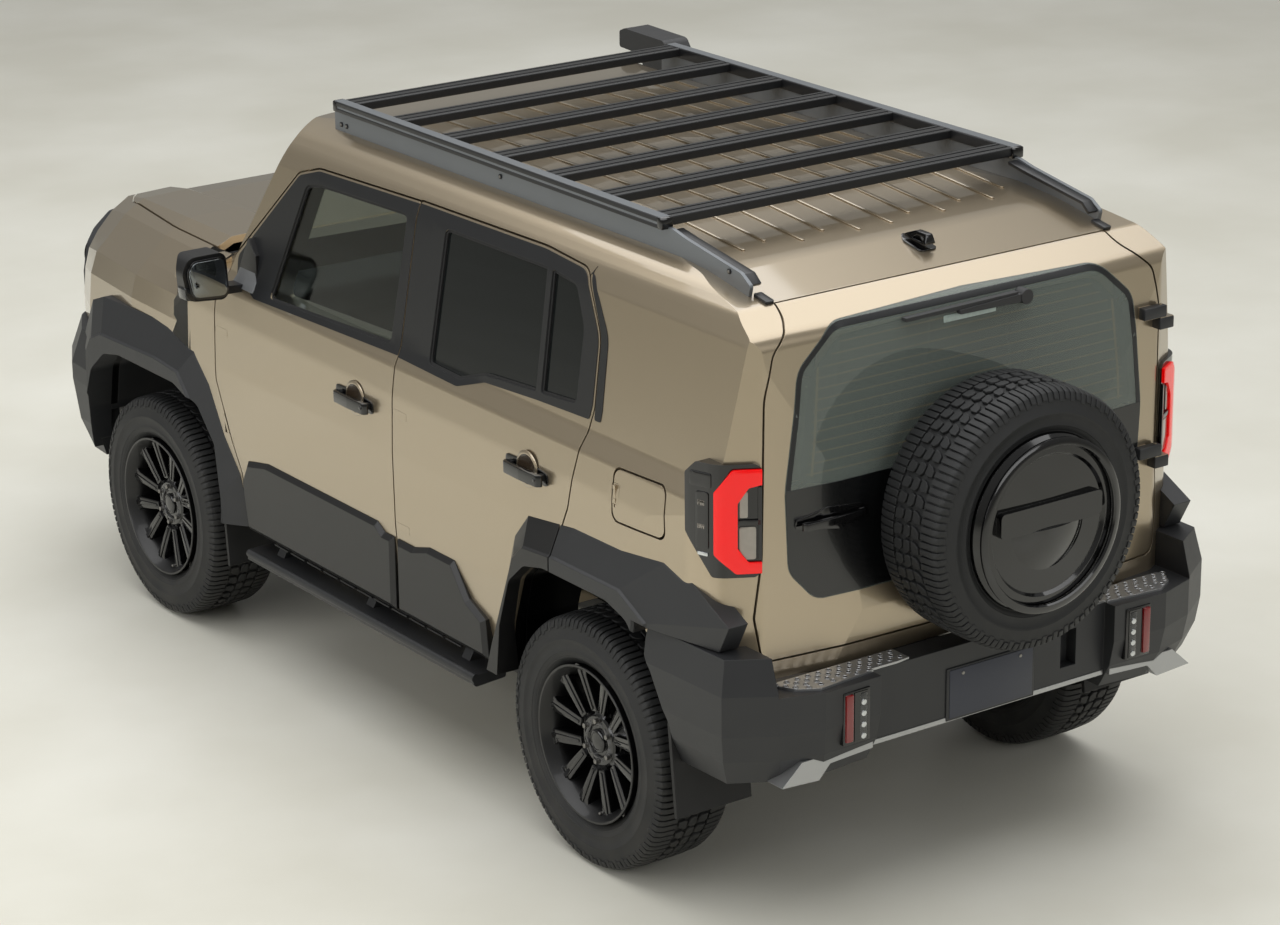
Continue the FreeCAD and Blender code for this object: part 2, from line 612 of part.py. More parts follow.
def grille_mask():
    """Black front mask with a slatted grille opening and a square pocket for each headlamp."""
    mask = prism_y(mirrored_half(MASK_HALF), -2300, -2000).common(prism_z(mirrored_half(MASK_PLAN), 800, 1300))
    mouth = prism_y([(-430, 1140, 20), (430, 1140, 20), (410, 930, 20), (-410, 930, 20)], -2300, -2170)
    mask = mask.cut(mouth)
    bars = [prism_y([(-424, z - 13), (424, z - 13), (424, z + 13), (-424, z + 13)], -2222, -2165)
            for z in (1095.0, 1035.0, 975.0)]
    posts = [box(x - 9, x + 9, -2214, -2165, 925, 1145) for x in (-250.0, 0.0, 250.0)]
    pocket = lamp_block(0.0)
    return fuse([mask] + bars + posts).cut(pocket).cut(flip(pocket))


def lamp_block(inset):
    """Rounded square body of the left headlamp."""
    h = 82.0 - inset
    body = prism_y([(LAMP_X - h, LAMP_Z - h, 26), (LAMP_X + h, LAMP_Z - h, 26), (LAMP_X + h, LAMP_Z + h, 26),
                    (LAMP_X - h, LAMP_Z + h, 26)], -2300, -2120)
    face = prism_z(grown(mirrored_half(MASK_PLAN), -inset), 800, 1300)
    return body.common(face)


BUMPER_PLAN = [(0.0, FRONT_Y), (430.0, FRONT_Y), (640.0, -2250.0), (795.0, -2100.0), (884.0, -1930.0),
               (893.0, -1796.0)]
BUMPER_DEPTH = 110.0
FRONT_BUMPER_LEVELS = [(430.0, 95.0), (540.0, 30.0), (690.0, 0.0), (750.0, 0.0), (BUMPER_TOP_Z, 62.0)]


def ring_loft(plan, levels, depth, towards):
    """Bumper shell: outer faceted form less the same form moved back."""
    outer = []
    for z, inset in levels:
        face = [(x - 0.55 * inset * x / plan[-1][0], y - towards * inset * (1.0 - 0.75 * i / (len(plan) - 1)))
                for i, (x, y) in enumerate(plan)]
        ring = face + [(-x, y) for x, y in face[::-1][:-1]]
        outer.append(level(ring, z))
    form = loft(outer)
    x_end = plan[-1][0]
    inner_plan = [(x * (x_end - depth) / x_end, y - towards * depth) for x, y in plan[:-1]]
    inner_plan.append((x_end - depth, plan[-1][1] - towards * 60.0))
    ring = inner_plan + [(-x, y) for x, y in inner_plan[::-1][:-1]]
    hollow = Part.Face(level(ring, levels[0][0] - 10)).extrude(V(0, 0, levels[-1][0] - levels[0][0] + 20))
    return form.cut(hollow)


def front_bumper():
    """Faceted black bumper with a lower intake and corner lamp pockets."""
    bumper = ring_loft(BUMPER_PLAN, FRONT_BUMPER_LEVELS, BUMPER_DEPTH, -1)
    intake = prism_y([(-360, 640, 20), (360, 640, 20), (330, 540, 20), (-330, 540, 20)], -2400, -2100)
    fog = prism_y([(520, 700, 15), (610, 700, 15), (610, 620, 15), (520, 620, 15)], -2400, -2232)
    bumper = bumper.cut(intake).cut(fog).cut(flip(fog))
    arch = prism_x(ARCH_FRONT, 500, SIDE_OUT)
    bumper = bumper.cut(arch).cut(flip(arch))
    return max(bumper.Solids, key=lambda s: s.Volume)


def front_skid():
    """Silver guard under the front bumper, bent down and back."""
    plate = prism_x([(FRONT_Y + 14, 538.0), (FRONT_Y + 70, 420.0), (FRONT_Y + 110, 400.0), (-1960.0, 372.0),
                     (-1960.0, 390.0), (FRONT_Y + 112, 428.0), (FRONT_Y + 106, 445.0), (FRONT_Y + 36, 540.0)], -330, 330)
    return plate.cut(front_bumper_form())


def front_bumper_form():
    """Outer form of the front bumper, without its hollow."""
    return ring_loft(BUMPER_PLAN, FRONT_BUMPER_LEVELS, BUMPER_DEPTH, -1)


# Wheel arch flares

REAR_FLARE_BODY = [
    (742.0, 462.0), (770.0, 556.0), (884.0, 941.0), (967.0, 1044.0), (1231.0, 1076.0), (1671.0, 1080.0),
    (1934.0, 950.0), (1890.0, 866.0), (1560.0, 866.0), (1500.0, 462.0),
]
REAR_FLARE_RIDGE = [
    (790.0, 462.0), (826.0, 570.0), (945.0, 880.0), (1000.0, 930.0), (1170.0, 944.0), (1490.0, 944.0),
    (1620.0, 880.0), (1618.0, 866.0), (1560.0, 866.0), (1500.0, 462.0),
]
FRONT_FLARE_BODY = [
    (-1800.0, 470.0), (-1868.0, 840.0), (-1772.0, 1014.0), (-1690.0, 1044.0), (-1222.0, 1060.0),
    (-1000.0, 1046.0), (-905.0, 950.0), (-757.0, 660.0), (-735.0, 470.0),
]
FRONT_FLARE_RIDGE = [
    (-1760.0, 470.0), (-1738.0, 850.0), (-1700.0, 905.0), (-1620.0, 940.0), (-1230.0, 952.0),
    (-1075.0, 940.0), (-990.0, 850.0), (-830.0, 560.0), (-812.0, 470.0),
]


def flare(body_line, ridge_line, arch, clear):
    """Faceted flare from the body side out to its ridge, open at the wheel arch."""
    form = loft([side_wire(body_line, 800.0), side_wire(body_line, 866.0), side_wire(ridge_line, FLARE_HALF - 8),
                 side_wire(grown(ridge_line, -6.0), FLARE_HALF)])
    return form.cut(prism_x(arch, 500, 1100)).cut(clear)


REAR_FLARE_SPLIT_Y = 1139.0


def rear_flares():
    """Left rear flare split at the door's shut line: the part on the body and the part on the door."""
    form = flare(REAR_FLARE_BODY, REAR_FLARE_RIDGE, ARCH_REAR, CAB)
    fixed = form.common(box(700, SIDE_OUT, REAR_FLARE_SPLIT_Y + SHUT_GAP, 2200, 400, 1200))
    moving = form.common(box(700, SIDE_OUT, 600, REAR_FLARE_SPLIT_Y, 400, 1200))
    moving = moving.cut(box(700, SIDE_OUT, 600, 2200, 300, DOOR_LOW_Z))
    return max(fixed.Solids, key=lambda s: s.Volume), max(moving.Solids, key=lambda s: s.Volume)


def front_flare():
    """Left front flare, on the wing."""
    form = flare(FRONT_FLARE_BODY, FRONT_FLARE_RIDGE, ARCH_FRONT, front_form(0.0, 300.0))
    form = form.cut(CAB).cut(box(700, SIDE_OUT, -2300, FRONT_AXLE_Y - 489, 300, BUMPER_TOP_Z + SHUT_GAP))
    form = form.cut(prism_x(grown(FRONT_DOOR, SHUT_GAP), 700, SIDE_OUT)).cut(front_bumper_form())
    return max(form.Solids, key=lambda s: s.Volume)


# Door cladding and trim

CLAD_FRONT = [
    (-700.0, DOOR_LOW_Z + 2), (-730.0, 640.0, 10.0), (-690.0, 716.0, 20.0), (-560.0, 742.0, 20.0),
    (120.0, 742.0, 20.0), (160.0, 716.0, 10.0), (216.0, 716.0), (216.0, DOOR_LOW_Z + 2),
]
CLAD_REAR = [
    (236.0, DOOR_LOW_Z + 2), (236.0, 716.0), (330.0, 716.0, 20.0), (420.0, 742.0, 20.0), (560.0, 742.0, 30.0),
    (640.0, 640.0, 30.0), (728.0, 600.0, 20.0), (742.0, DOOR_LOW_Z + 2),
]
CLAD_T = 14.0


def cladding(corners):
    """Lower door cladding: a plate on the door skin with a bevelled edge."""
    form = loft([side_wire(corners, 830.0), side_wire(corners, BODY_HALF - 3),
                 side_wire(grown(corners, -16.0), BODY_HALF + CLAD_T - 5)])
    return form.cut(CAB)


def door_handle(y, z):
    """Bar handle on two stand-offs over the door skin."""
    bar = prism_z([(BODY_HALF + 16, y - 88, 8), (BODY_HALF + 28, y - 76, 8), (BODY_HALF + 28, y + 92, 8),
                   (BODY_HALF + 14, y + 104, 8)], z - 11, z + 11)
    posts = [box(860, BODY_HALF + 17, y - 84, y - 62, z - 9, z + 9), box(860, BODY_HALF + 17, y + 78, y + 98, z - 9, z + 9)]
    return fuse([bar] + posts).cut(CAB)


MIRROR_Y = -742.0
MIRROR_Z = 1352.0


def door_mirror():
    """Mirror head on an arm from the door's front corner."""
    head = prism_y([(905, MIRROR_Z - 78, 30), (1060, MIRROR_Z - 62, 40), (1078, MIRROR_Z + 40, 50),
                    (1050, MIRROR_Z + 84, 40), (915, MIRROR_Z + 84, 30)], MIRROR_Y - 62, MIRROR_Y + 30)
    shape = prism_z([(890, MIRROR_Y + 26), (1080, MIRROR_Y + 26), (1082, MIRROR_Y - 10, 30), (1040, MIRROR_Y - 60, 40),
                     (920, MIRROR_Y - 60, 30), (890, MIRROR_Y - 20)], 1200, 1500)
    arm = prism_y([(800, MIRROR_Z - 66), (930, MIRROR_Z - 62), (930, MIRROR_Z - 34), (800, MIRROR_Z - 44)],
                  MIRROR_Y - 40, MIRROR_Y + 20)
    foot = prism_x([(-800, 1300), (-655, 1300), (-655, 1420), (-700, 1470)], 780, 838).cut(CAB)
    return fuse([head.common(shape), arm.cut(CAB), foot])


def side_step():
    """Running board with a tubular edge, hung from the sill on three brackets."""
    board = prism_y([(786, 380, 8), (900, 372, 14), (906, 392, 8), (896, 410, 10), (786, 412, 8)], -690, 690)
    nose = prism_z([(700, -760), (860, -760), (910, -670), (910, 600), (910, 690), (820, 760), (700, 760)], 300, 500)
    tube = rod((896, -680, 400), (896, 690, 400), 14.0)
    arms = [prism_y([(795, 378), (850, 378), (850, 408), (822, SILL_Z + 3), (700, SILL_Z + 3), (700, SILL_Z - 18),
                     (790, SILL_Z - 20)], y - 22, y + 22) for y in (-560.0, 0.0, 560.0)]
    return fuse([board.common(nose), tube] + arms).cut(CAB)


# Rear bumper

REAR_PLAN = [(0.0, 2076.0), (440.0, 2076.0), (640.0, 2080.0), (770.0, 2040.0), (905.0, 1952.0), (918.0, 1600.0)]
REAR_LEVELS = [(482.0, 74.0), (560.0, 20.0), (640.0, 0.0), (760.0, 0.0), (862.0, 40.0)]
STEP_Z = 757.0


def rear_bumper():
    """Black rear bumper: faceted corners, stepped top, recessed middle for the plate."""
    outer = ring_loft(REAR_PLAN, REAR_LEVELS, 132.0, 1)
    bumper = outer.cut(box(-772, 772, 1800, 2200, STEP_Z - 4, 1000))
    bumper = bumper.cut(box(-440, 440, 2032, 2200, 400, 1000))
    bumper = bumper.cut(box(-440, 440, 1800, 2200, 400, 540))
    bumper = bumper.cut(CAB).cut(box(-1000, 1000, 1000, 1594, 300, 1000))
    for side in (1, -1):
        bumper = bumper.cut(box(min(side * 492, side * 540), max(side * 492, side * 540), 2064, 2200, 580, 728))
    bumper = bumper.cut(box(-330, -270, 1990, 2200, 585, 700))
    bumper = bumper.cut(prism_x(ARCH_REAR, 500, 1100)).cut(flip(prism_x(ARCH_REAR, 500, 1100)))
    return max(bumper.Solids, key=lambda s: s.Volume)


def bumper_metal():
    """Silver pieces on the rear bumper: a step plate and a skid edge on each side, and the middle strip."""
    plate = prism_z([(300, 1952), (740, 1952, 20), (700, 2026, 20), (640, 2060, 10), (300, 2028)], STEP_Z - 4, STEP_Z + 3)
    plate = plate.cut(box(-441, 441, 2032, 2100, 700, 800)).cut(CAB)
    skid = prism_y([(448, 548), (700, 548), (770, 486), (640, 478), (600, 520), (448, 528)], 1960, 2052)
    skid = skid.cut(ring_loft(REAR_PLAN, REAR_LEVELS, 132.0, 1))
    lip = box(-438, 438, 1960, 2034, 526, 540)
    return [plate, skid, lip]


def bumper_lamp():
    """Upright lamp bar set in the left corner of the rear bumper."""
    return box(492, 540, 2064, 2084, 580, 728)


def tail_lamp():
    """Left rear lamp: an eight-sided housing that wraps the corner."""
    outline_side = [(1752, 1190, 12), (1752, 1362, 12), (1790, 1400, 12), (1990, 1400), (1990, 1070),
                    (1840, 1070, 12)]
    outline_rear = [(740, 1085, 16), (740, 1388, 16), (756, 1400, 12), (1000, 1400), (1000, 1070), (756, 1070, 12)]
    lamp = prism_x(outline_side, 640, SIDE_OUT).common(prism_y(outline_rear, 1700, 2000))
    proud = prism_z(grown(mirrored_half(CAB_PLAN_HALF), LAMP_PROUD), 1000, 1500)
    return lamp.common(proud).cut(CAB)


LAMP_PROUD = 12.0


def right_tail_lamp():
    """Right rear lamp, notched round the back door's lower hinge."""
    x, y = BACK_HINGE
    z = BACK_HINGE_Z[0]
    return flip(tail_lamp()).cut(box(x - 52, x + 20, y - 200, y + 100, z - 50, z + 44))


# Roof pieces

SLAT_COUNT = 7
RACK_FRONT_Y = -406.0
RACK_REAR_Y = 1355.0
SLAT_W = 74.0
SLAT_T = 30.0
RACK_HALF = 668.0
RACK_RAIL_W = 34.0
RACK_FIN_T = 12.0


def rack_slats():
    """Cross slats of the roof platform, grooved on top, seated against the side rails."""
    slats = []
    pitch = (RACK_REAR_Y - RACK_FRONT_Y - SLAT_W) / (SLAT_COUNT - 1)
    half = RACK_HALF - RACK_RAIL_W
    for i in range(SLAT_COUNT):
        y = RACK_FRONT_Y + SLAT_W / 2 + i * pitch
        slat = prism_x([(y - SLAT_W / 2, RACK_Z - SLAT_T, 4), (y + SLAT_W / 2, RACK_Z - SLAT_T, 4),
                        (y + SLAT_W / 2, RACK_Z - 2, 5), (y - SLAT_W / 2, RACK_Z - 2, 5)], -half, half)
        grooves = [box(-half - 1, half + 1, y + s * 17 - 4, y + s * 17 + 4, RACK_Z - 8, RACK_Z + 1) for s in (-1, 1)]
        slats.append(slat.cut(fuse(grooves)))
    return Part.makeCompound([s for slat in slats for s in slat.Solids])


def rack_side():
    """Left side of the roof platform: the rail and the sheet fin that stands on the roof edge."""
    rail = prism_x([(RACK_FRONT_Y - 8, RACK_Z - 34, 10), (RACK_REAR_Y + 8, RACK_Z - 34, 10), (RACK_REAR_Y + 8, RACK_Z, 10),
                    (RACK_FRONT_Y - 8, RACK_Z, 10)], RACK_HALF - RACK_RAIL_W, RACK_HALF)
    fin = prism_x([(-440, 1820), (-440, RACK_Z - 36, 16), (-380, RACK_Z - 30), (1380, RACK_Z - 30), (1440, RACK_Z - 44, 30),
                   (1700, 1874, 30), (1744, 1846, 10), (1730, 1790)], 636.0, 636.0 + RACK_FIN_T)
    return fuse([rail, fin.cut(CAB)])


def antenna_pod():
    """Small raised pod on the back of the roof."""
    pod = prism_x([(1560, 1800), (1585, 1862, 20), (1640, 1878, 20), (1700, 1862, 10), (1712, 1780)], -60, 10)
    taper = prism_z([(-25, 1550), (-62, 1600, 20), (-62, 1712, 15), (12, 1712, 15), (12, 1600, 20)], 1700, 1950)
    return pod.common(taper).cut(CAB)


def snorkel():
    """Raised air intake: pipe up the right windscreen pillar and a forward-facing head."""
    route = [V(-872, -1180, 1080), V(-882, -1120, 1180), V(-868, -1000, 1300), V(-800, -640, 1800)]
    pieces = []
    for a, b in zip(route, route[1:]):
        pieces.append(Part.makeCylinder(30.0, (b - a).Length, a, b - a))
    pieces += [Part.makeSphere(30.0, p) for p in route[1:-1]]
    head = prism_x([(-850, 1856, 10), (-850, 1912, 10), (-820, 1925, 10), (-590, 1920, 30), (-560, 1880, 30),
                    (-600, 1800, 20), (-690, 1790, 20), (-740, 1850, 20)], -852, -752)
    mouth = box(-842, -762, -900, -700, 1864, 1904)
    return fuse(pieces + [head]).cut(mouth).cut(CAB).cut(flip(front_form(0.0, WING_LOW_Z)))


# Cabin

SEAT_X = 370.0


def seat(x, y, width):
    """Cushion, back and headrest of one seat as a single plain form."""
    cushion = prism_x([(y - 300, 780, 40), (y - 290, 930, 50), (y + 190, 900, 40), (y + 210, 780, 20)],
                      x - width / 2, x + width / 2)
    back = prism_x([(y + 120, 880, 30), (y + 200, 1480, 60), (y + 310, 1480, 50), (y + 260, 860, 30)],
                   x - width / 2, x + width / 2)
    rest = prism_x([(y + 225, 1470, 10), (y + 235, 1660, 40), (y + 320, 1650, 40), (y + 310, 1470, 10)], x - 125, x + 125)
    base = box(x - width / 2 + 40, x + width / 2 - 40, y - 240, y + 200, FLOOR_Z, 800)
    return fuse([cushion, back, rest, base])


def seats():
    """Two front seats and the rear bench."""
    front = [seat(SEAT_X, -130.0, 500.0), seat(-SEAT_X, -130.0, 500.0)]
    bench = fuse([
        prism_x([(540, 800, 30), (550, 960, 50), (1010, 930, 30), (1020, 800, 20)], -560, 560),
        prism_x([(940, 900, 30), (1050, 1480, 50), (1140, 1480, 40), (1090, 860, 30)], -560, 560),
        box(-520, 520, 600, LOAD_STEP_Y - 0.3, FLOOR_Z, 820),
        prism_x([(1060, 1470), (1070, 1620, 30), (1140, 1610, 30), (1130, 1470)], -420, -180),
        prism_x([(1060, 1470), (1070, 1620, 30), (1140, 1610, 30), (1130, 1470)], 180, 420),
    ])
    return Part.makeCompound([s for p in front + [bench] for s in p.Solids])


def dashboard():
    """Dashboard with the column and the steering wheel on the right-hand side."""
    board = prism_x([(-978, 950), (-978, 1230, 30), (-900, 1262, 40), (-760, 1230, 50), (-720, 1140, 30),
                     (-790, 950, 30)], -735, 735)
    tunnel = prism_x([(-900, 640), (-900, 960), (-800, 960), (-760, 860, 30), (-330, 860, 40), (-300, 640)], -110, 110)
    centre = V(-SEAT_X, -600, 1085)
    axis = V(0, 0.92, 0.39)
    column = Part.makeCylinder(30.0, 230.0, centre - axis * 230.0, axis)
    ring = Part.makeTorus(178.0, 15.0, centre, axis)
    boss = Part.makeCylinder(62.0, 40.0, centre - axis * 25, axis)
    spokes = []
    for angle in (90.0, 210.0, 330.0):
        spoke = box(0, 178, -18, 18, -8, 8)
        spoke.rotate(V(0, 0, 0), V(0, 0, 1), angle)
        spoke.Placement = FreeCAD.Placement(centre, FreeCAD.Rotation(V(0, 0, 1), axis)).multiply(spoke.Placement)
        spokes.append(spoke)
    return fuse([board, tunnel, column, ring, boss] + spokes).common(CAB_CORE)


# Frame and running gear

def rail():
    """Left chassis rail, raised over both axles."""
    line = [(FRONT_Y + BUMPER_DEPTH, 560.0), (-1760.0, 550.0), (-1560.0, 560.0), (-1240.0, 560.0), (-1040.0, 470.0),
            (800.0, 470.0), (1040.0, 620.0), (1560.0, 620.0), (1760.0, 560.0), (1930.0, 560.0)]
    top = [(y, z + RAIL_H) for y, z in reversed(line)]
    return prism_x([(y, z, 60.0) if 0 < i < len(line) - 1 else (y, z) for i, (y, z) in enumerate(line)] +
                   [(y, z, 60.0) if 0 < i < len(top) - 1 else (y, z) for i, (y, z) in enumerate(top)],
                   RAIL_X - RAIL_W, RAIL_X)


def crossmembers():
    """Tubes and channels between the rails, seated on their inner faces, with the rear tow plate."""
    half = RAIL_X - RAIL_W
    members = []
    for y, z, h in ((-2060.0, 618.0, 34.0), (-1860.0, 616.0, 34.0), (-700.0, 500.0, 14.0), (60.0, 566.0, 20.0),
                    (780.0, 550.0, 34.0), (1640.0, 655.0, 30.0)):
        members.append(prism_x([(y - 45, z - h, 8), (y + 45, z - h, 8), (y + 45, z + h, 8), (y - 45, z + h, 8)],
                               -half, half))
    rear = box(-half, half, 1840, 1930, 566, 674)
    plate = box(-80, 80, 1930, 1942, 500, 640)
    for x in (-TOW_SPACING / 2, TOW_SPACING / 2):
        plate = plate.cut(rod((x, 1900, TOW_Z), (x, 1960, TOW_Z), TOW_HOLE_R))
    members.append(fuse([rear, plate]))
    return Part.makeCompound([s for m in members for s in m.Solids])


TOW_SPACING = 90.0
TOW_HOLE_R = 8.5
TOW_Z = 530.0


def engine():
    """Engine block, one plain form at its real place, on mounts to the rails."""
    block = prism_x([(-1800, 560, 30), (-1800, 980, 60), (-1640, 1120, 60), (-1230, 1120, 60), (-1180, 980, 40),
                     (-1180, 620, 30), (-1400, 540, 30)], -230, 230)
    mounts = [box(min(s * 225, s * 330), max(s * 225, s * 330), -1560, -1480, 640, 690) for s in (1, -1)]
    return fuse([block] + mounts)


def front_nose():
    """Nose of the front differential, where the front propeller shaft ends."""
    return rod((-140, FRONT_AXLE_Y + 22, 400), (-140, FRONT_AXLE_Y + 130, 400), 45.0)


def gearbox():
    """Gearbox, transfer case and the two propeller shafts."""
    case = fuse([
        Part.makeCone(190, 120, 300, V(0, -1178, 720), V(0, 1, -0.25)),
        rod((0, -900, 640), (0, -300, 520), 95.0),
        box(-190, 90, -430, -180, 440, 590),
    ])
    case = case.cut(box(-400, 400, FIREWALL_Y - 2, 0, FLOOR_Z - FLOOR_T - 3, 900)).cut(engine())
    rear_shaft = rod((0, -200, 500), (0, REAR_AXLE_Y - 212, 408), 38.0)
    front_shaft = rod((-140, -420, 480), (-140, FRONT_AXLE_Y + 128, 400), 30.0).cut(front_nose())
    return fuse([case, rear_shaft, front_shaft])


EXHAUST_X = -275.0
EXHAUST_Z = 436.0
PIPE_R = 26.0


def pipe_run(points, radius):
    """Round pipe through points, with ball bends."""
    pieces = [rod(a, b, radius) for a, b in zip(points, points[1:])]
    pieces += [Part.makeSphere(radius, V(*p)) for p in points[1:-1]]
    return fuse(pieces)


def exhaust():
    """Pipe and silencer under the right side, from the engine's flank over the axle to the tail."""
    x = EXHAUST_X
    z = EXHAUST_Z
    pipe = pipe_run([(-230, -1240, 700), (x, -1240, 700), (x, -1000, z), (x, 860, z), (x, 1080, 640), (x, 1330, 640),
                     (x, 1500, 540), (-480, 1640, 530), (-480, 1800, 480)], PIPE_R)
    silencer = prism_x([(130, z - 30, 60), (600, z - 30, 60), (600, z + 100, 60), (130, z + 100, 60)], x - 44, x + 70)
    return fuse([pipe, silencer])


def fuel_tank():
    """Tank slung between the left rail and the rear propeller shaft."""
    tank = prism_y([(70, 440, 40), (322, 440, 40), (322, 590, 30), (70, 590, 30)], 130, 715)
    straps = [box(100, 300, y, y + 50, 586, FLOOR_Z - FLOOR_T) for y in (220, 580)]
    return fuse([tank] + straps)


def coil(x, y, z0, z1, radius, wire, turns):
    """Spring drawn as stacked rings round a core."""
    rings = []
    pitch = (z1 - z0 - 2 * wire) / turns
    for i in range(turns + 1):
        rings.append(Part.makeCylinder(radius + wire, 1.6 * wire, V(x, y, z0 + 0.2 * wire + i * pitch)))
    return rings


KINGPIN_X = 648.0


def front_suspension():
    """Both sides' wishbones and spring struts, with the differential and its shafts."""
    y = FRONT_AXLE_Y
    lower = prism_z([(330, y - 190), (560, y - 40), (KINGPIN_X + 8, y - 18), (KINGPIN_X + 8, y + 18), (560, y + 40),
                     (330, y + 190), (330, y + 120), (470, y), (330, y - 120)], 276, 306)
    bracket = fuse([box(330, 380, y - 188, y - 128, 276, 600), box(330, 380, y + 128, y + 188, 276, 600)])
    upper = prism_z([(360, y - 150), (540, y - 30), (KINGPIN_X + 8, y - 18), (KINGPIN_X + 8, y + 18), (540, y + 30),
                     (360, y + 150), (360, y + 90), (480, y), (360, y - 90)], 560, 584)
    upper = upper.cut(box(0, RAIL_X, -3000, 0, 0, 2000))
    strut = fuse([rod((520, y, 296), (478, y, 760), 24.0), rod((508, y, 420), (482, y, 720), 46.0),
                  box(340, 530, y - 50, y + 50, 700, 760), box(340, RAIL_X, y - 50, y + 50, 681, 760)])
    shaft = rod((150, y, 392), (HUB_X - 70, y, TYRE_R + 1), 20.0)
    side = fuse([lower, bracket, strut, shaft])
    diff = fuse([Part.makeSphere(112.0, V(-60, y, 400)), rod((-160, y, 400), (160, y, 400), 60.0),
                 box(-340, 340, y - 30, y + 30, 470, 520), front_nose()])
    whole = fuse([side, flip(side), diff, upper_bracket(upper), flip(upper_bracket(upper))])
    return whole.cut(rail()).cut(flip(rail()))


def upper_bracket(upper):
    """Upper wishbone with its seats on the rail's outer face."""
    y = FRONT_AXLE_Y
    return fuse([upper, box(RAIL_X, RAIL_X + 20, y - 160, y - 60, 560, 640), box(RAIL_X, RAIL_X + 20, y + 60, y + 160, 560, 640)])


KNUCKLE_BORE_R = 30.0
STUB_R = KNUCKLE_BORE_R - SPINDLE_CLEAR


def knuckle():
    """Left steering knuckle with brake disc, caliper and its two ball seats."""
    y = FRONT_AXLE_Y
    z = TYRE_R
    disc = rod((HUB_X + 20, y, z), (HUB_X + 46, y, z), 165.0)
    upright = prism_x([(y - 45, 312, 20), (y + 45, 312, 20), (y + 60, z, 30), (y + 35, 552, 20), (y - 35, 552, 20),
                       (y - 60, z, 30)], HUB_X - 30, HUB_X + 24)
    caliper = box(HUB_X - 10, HUB_X + 76, y + 95, y + 178, z - 75, z + 75)
    caliper = caliper.common(rod((HUB_X - 50, y, z), (HUB_X + 100, y, z), 192.0))
    steer_arm = prism_z([(HUB_X - 30, y + 40), (HUB_X + 10, y + 40), (HUB_X - 20, y + 150), (HUB_X - 60, y + 150)], 330, 352)
    body = fuse([disc, upright, caliper, steer_arm])
    body = body.cut(rod((HUB_X - 60, y, z), (HUB_X + 80, y, z), KNUCKLE_BORE_R))
    low_seat = rod((KINGPIN_X, y, 306.3), (KINGPIN_X, y, 330), 12.0)
    top_seat = rod((KINGPIN_X, y, 530), (KINGPIN_X, y, 559.7), 12.0)
    return fuse([body, low_seat, top_seat])


AXLE_TUBE_R = 42.0
SPRING_X = 408.0


def rear_axle():
    """Live rear axle with brake discs, links, springs and dampers."""
    y = REAR_AXLE_Y
    z = TYRE_R
    tube = rod((-HUB_X - 20, y, z), (HUB_X + 20, y, z), AXLE_TUBE_R)
    diff = fuse([Part.makeSphere(140.0, V(0, y, z + 6)), rod((0, y - 210, z + 16), (0, y - 100, z + 10), 55.0)])
    disc = rod((HUB_X + 18, y, z), (HUB_X + 42, y, z), 160.0)
    link = fuse([rod((430, y, z - 40), (430, y - 560, 500), 20.0), box(RAIL_X, 448, y - 600, y - 530, 470, 560),
                 box(405, 455, y - 45, y + 45, z - 70, z + 20)])
    spring = coil_spring(SPRING_X, y + 90.0, z + 40.0, 618.0)
    arm = box(360, 580, y - 30, y + 150, z, z + 40)
    damper = rod((540, y + 70, z + 12), (RAIL_X + 60, y + 120, 720), 24.0)
    damper_seat = box(RAIL_X, RAIL_X + 80, y + 90, y + 150, 650, 720)
    side = fuse([disc, link, arm, spring, damper, damper_seat])
    whole = fuse([tube, diff, side, flip(side)])
    bore = rod((HUB_X - 60, y, z), (HUB_X + 60, y, z), KNUCKLE_BORE_R)
    return whole.cut(bore).cut(flip(bore)).cut(rail()).cut(flip(rail()))


def coil_spring(x, y, z0, z1):
    """Barrel-shaped stand for a coil spring, with rings for its turns."""
    core = Part.makeCylinder(38.0, z1 - z0, V(x, y, z0))
    return fuse([core] + coil(x, y, z0, z1, 43.0, 8.0, 5))


# Wheels

def tyre(centre_y, x):
    """Tyre turned about its own axle, plain, out to the tips of its tread blocks."""
    w = TYRE_W / 2
    profile = [
        (x - w + 22, RIM_R - 8), (x - w + 6, RIM_R + 14), (x - w, RIM_R + 70), (x - w + 8, TYRE_R - 40),
        (x - w + 26, TYRE_R - 8), (x - w + 50, TYRE_R), (x + w - 50, TYRE_R), (x + w - 26, TYRE_R - 8),
        (x + w - 8, TYRE_R - 40), (x + w, RIM_R + 70), (x + w - 6, RIM_R + 14), (x + w - 22, RIM_R - 8),
    ]
    points = [V(a, 0, b) for a, b in profile]
    face = Part.Face(Part.makePolygon(points + [points[0]]))
    solid = face.revolve(V(0, 0, 0), V(1, 0, 0), 360)
    solid.translate(V(0, centre_y, TYRE_R))
    return solid


SPOKES = 6
RIM_BARREL_R = 214.0


